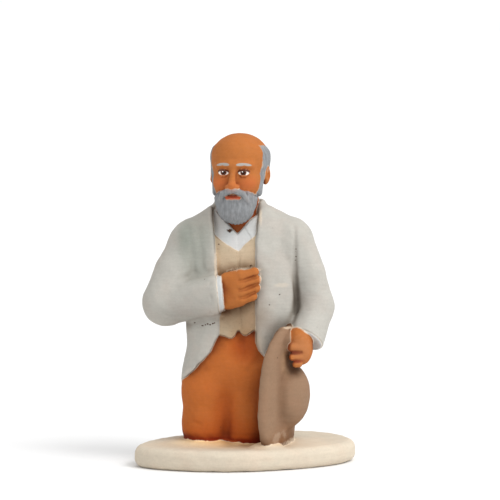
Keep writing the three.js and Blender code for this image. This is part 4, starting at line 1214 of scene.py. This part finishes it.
def age_paint(p, colour):
    """Slow clouds, fine mottling, brush marks, paler worn edges and a warm bloom."""
    clouds = p.ramp(p.noise(0.006, 3.0), 0.3, 0.7, 0.965, 1.02)
    mottle = p.ramp(p.noise(0.00045, 4.0, roughness=0.65), 0.25, 0.75, 0.955, 1.03)
    brush = p.ramp(p.noise(0.0006, 3.0, (0.22, 0.22, 1.5)), 0.3, 0.7, 0.975, 1.02)
    colour = p.tone(colour, clouds * mottle * brush)
    worn = p.ramp(p.attribute("edge"), 0.85, 0.45) * p.ramp(p.attribute("open"), 0.9, 1.0) * 0.07
    colour = p.mix(worn, colour, WORN_EDGE)
    return p.mix(p.ramp(p.noise(0.0042, 3.0), 0.42, 0.68) * 0.5, colour, WARM_TINT, "MULTIPLY")


def add_painted_shade_light_and_marks(p, colour):
    # painted shade and painted light in soft places, with a little bare clay, then pale strokes and a painted
    # pool of light on the base
    for tint, places in PAINTED_SHADE_LIGHT_AND_CLAY_SPOTS.items():
        shares = (p.spot(at, radii, (0, 0, 0), 0.75) * strength for at, radii, strength in places)
        colour = p.mix(p.together(shares), colour, tint, "MULTIPLY")
    waver = (p.noise(0.0005, 4.0, roughness=0.7) - 0.5) * 1.5
    shares = (
        p.spot(at, radii, (0, lean, 0), 0.45, waver) * strength
        for at, radii, lean, strength in STROKES
    )
    return p.mix(p.together(shares), colour, PALE_GROUND)


def thin_borders(p, colour, border):
    """Paint thins out where two paints meet, and pale ground or bare clay shows through here and there."""
    patches = p.noise(0.0013, 3.0)
    # pale rim along every border, stronger below the head: partly thinned paint, partly painted light against
    # the shade in the crevices where forms meet
    rim = p.ramp(p.along("Z"), HEAD_CLEAR, HEAD_CLEAR - HEAD_SOFT, 0.3, 0.46)
    colour = p.mix(p.ramp(border, 0.45, 0.08) * rim, colour, PALE_GROUND)
    pale = p.ramp(border, 0.26, 0.1) * p.ramp(patches, 0.46, 0.4) * 0.6
    colour = p.mix(pale, colour, PALE_GROUND)
    chips = p.ramp(border, 0.26, 0.08) * p.ramp(patches, 0.63, 0.68) * 0.7
    return p.mix(chips, colour, BARE_CLAY)


def pit_share(p):
    """Share of dark in the named pits and in small pinholes here and there, none on the head."""
    waver = (p.noise(0.0003, 2.0) - 0.5) * 1.6
    total = 0.0
    for at, size in PITS:
        total = p.math("MAXIMUM", total, p.spot(at, (size, 3, size * 0.7), (0, 0, 0), 0.3, waver))
    cells = p.node("TexVoronoi", {"Scale": 1 / PINHOLE_SPACING, "Vector": p.place})
    chance, large, _ = p.node("SeparateColor", {0: cells["Color"]})
    below_head = p.ramp(p.along("Z"), HEAD_CLEAR, HEAD_CLEAR - HEAD_SOFT)
    chosen = p.ramp(chance, 0.9, 0.93) * below_head
    small = p.ramp(Number(p, cells["Distance"]) - Number(p, large) * 0.08, 0.055, 0.015)
    return p.math("MAXIMUM", total, chosen * small * 0.6)


def relief(p, pits):
    """Brush marks, grain and pits that stand in the surface."""
    height = p.noise(0.00028, 4.0, roughness=0.6) * 0.5 + p.noise(0.0007, 3.0, (0.25, 0.25, 1.4)) - pits * 1.6
    return p.node("Bump", {"Strength": 0.5, "Distance": 0.00006, "Height": height})["Normal"]


def new_material(name):
    material = bpy.data.materials.new(name)
    material.use_nodes = True
    return material, material.node_tree.nodes["Principled BSDF"]


def paint_material():
    material, shader = new_material("painted_clay")
    p = Painter(material.node_tree)
    colour, border = paint_layers(p)
    colour = paint_face(p, colour)
    colour = age_paint(p, colour)
    colour = add_painted_shade_light_and_marks(p, colour)
    colour = thin_borders(p, colour, border)
    pits = pit_share(p)
    p.put(shader.inputs["Base Color"], p.mix(pits, colour, PIT))
    p.put(shader.inputs["Roughness"], p.ramp(p.noise(0.0008, 4.0), 0.3, 0.7, 0.74, 0.92))
    shader.inputs["Specular IOR Level"].default_value = 0.22
    p.put(shader.inputs["Normal"], relief(p, pits))
    return material


# stage: lengths in metres, angles in degrees, the lens in millimetres

FLOOR_HALF = 30.0
FLOOR_GREY = 0.87
KEY_FROM = Vector((0.58, -0.44, 0.8))
KEY_GLOW = 0.85
FILL_GLOW = 0.37
TOP_GLOW = 0.55
HORIZON_GLOW = 1.02
HORIZON_HIGH = 0.22
HORIZON_LOW = 0.1
KEY_NARROWS = 3.0
SUN_STRENGTH = 1.3
SUN_WIDTH = 28
CAMERA_TARGET = Vector((0.00093, 0.00054, 0.04255))
CAMERA_AWAY = 0.62
CAMERA_UP = 4.5
CAMERA_LENS = 223


def aim(thing, direction):
    thing.rotation_euler = direction.to_track_quat("-Z", "Y").to_euler()


def make_stage():
    corners = FLOOR_HALF * np.array([(-1, -1, 0), (1, -1, 0), (1, 1, 0), (-1, 1, 0)])
    floor = mesh_object("floor", corners, np.array([(0, 1, 2, 3)]))
    material, shader = new_material("pale_floor")
    shader.inputs["Base Color"].default_value = (FLOOR_GREY, FLOOR_GREY, FLOOR_GREY, 1)
    shader.inputs["Roughness"].default_value = 0.9
    floor.data.materials.append(material)


def make_light():
    """Soft light from all round, stronger from the right, and white down to the horizon."""
    scene = bpy.context.scene
    world = bpy.data.worlds.new("soft_white")
    world.use_nodes = True
    background = world.node_tree.nodes["Background"]
    background.inputs["Color"].default_value = (1, 1, 1, 1)
    p = Painter(world.node_tree, "Generated")
    towards = p.node("VectorMath", {0: p.place, 1: KEY_FROM.normalized()}, operation="DOT_PRODUCT")["Value"]
    lobe = p.math("POWER", p.math("MAXIMUM", towards, 0.0), KEY_NARROWS)
    up = p.along("Z")
    light = lobe * KEY_GLOW + FILL_GLOW + p.math("MAXIMUM", up, 0.0) * TOP_GLOW
    horizon = p.ramp(up, HORIZON_HIGH, HORIZON_LOW, 0.0, HORIZON_GLOW)
    p.put(background.inputs["Strength"], p.math("MAXIMUM", light, horizon))
    scene.world = world
    scene.view_settings.view_transform = "Standard"
    data = bpy.data.lights.new("key", "SUN")
    data.energy = SUN_STRENGTH
    data.angle = math.radians(SUN_WIDTH)
    aim(add_object("key", data), -KEY_FROM)


def make_camera():
    data = bpy.data.cameras.new("camera")
    data.sensor_width = 36
    data.lens = CAMERA_LENS
    data.clip_start = 0.01
    data.clip_end = 10
    camera = add_object("camera", data)
    up = math.radians(CAMERA_UP)
    camera.location = CAMERA_TARGET + Vector((0, -math.cos(up), math.sin(up))) * CAMERA_AWAY
    aim(camera, CAMERA_TARGET - camera.location)
    bpy.context.scene.camera = camera


santon = make_santon()
santon.data.materials.clear()
santon.data.materials.append(paint_material())
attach(santon, "root")
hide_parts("santon")
make_stage()
make_light()
make_camera()
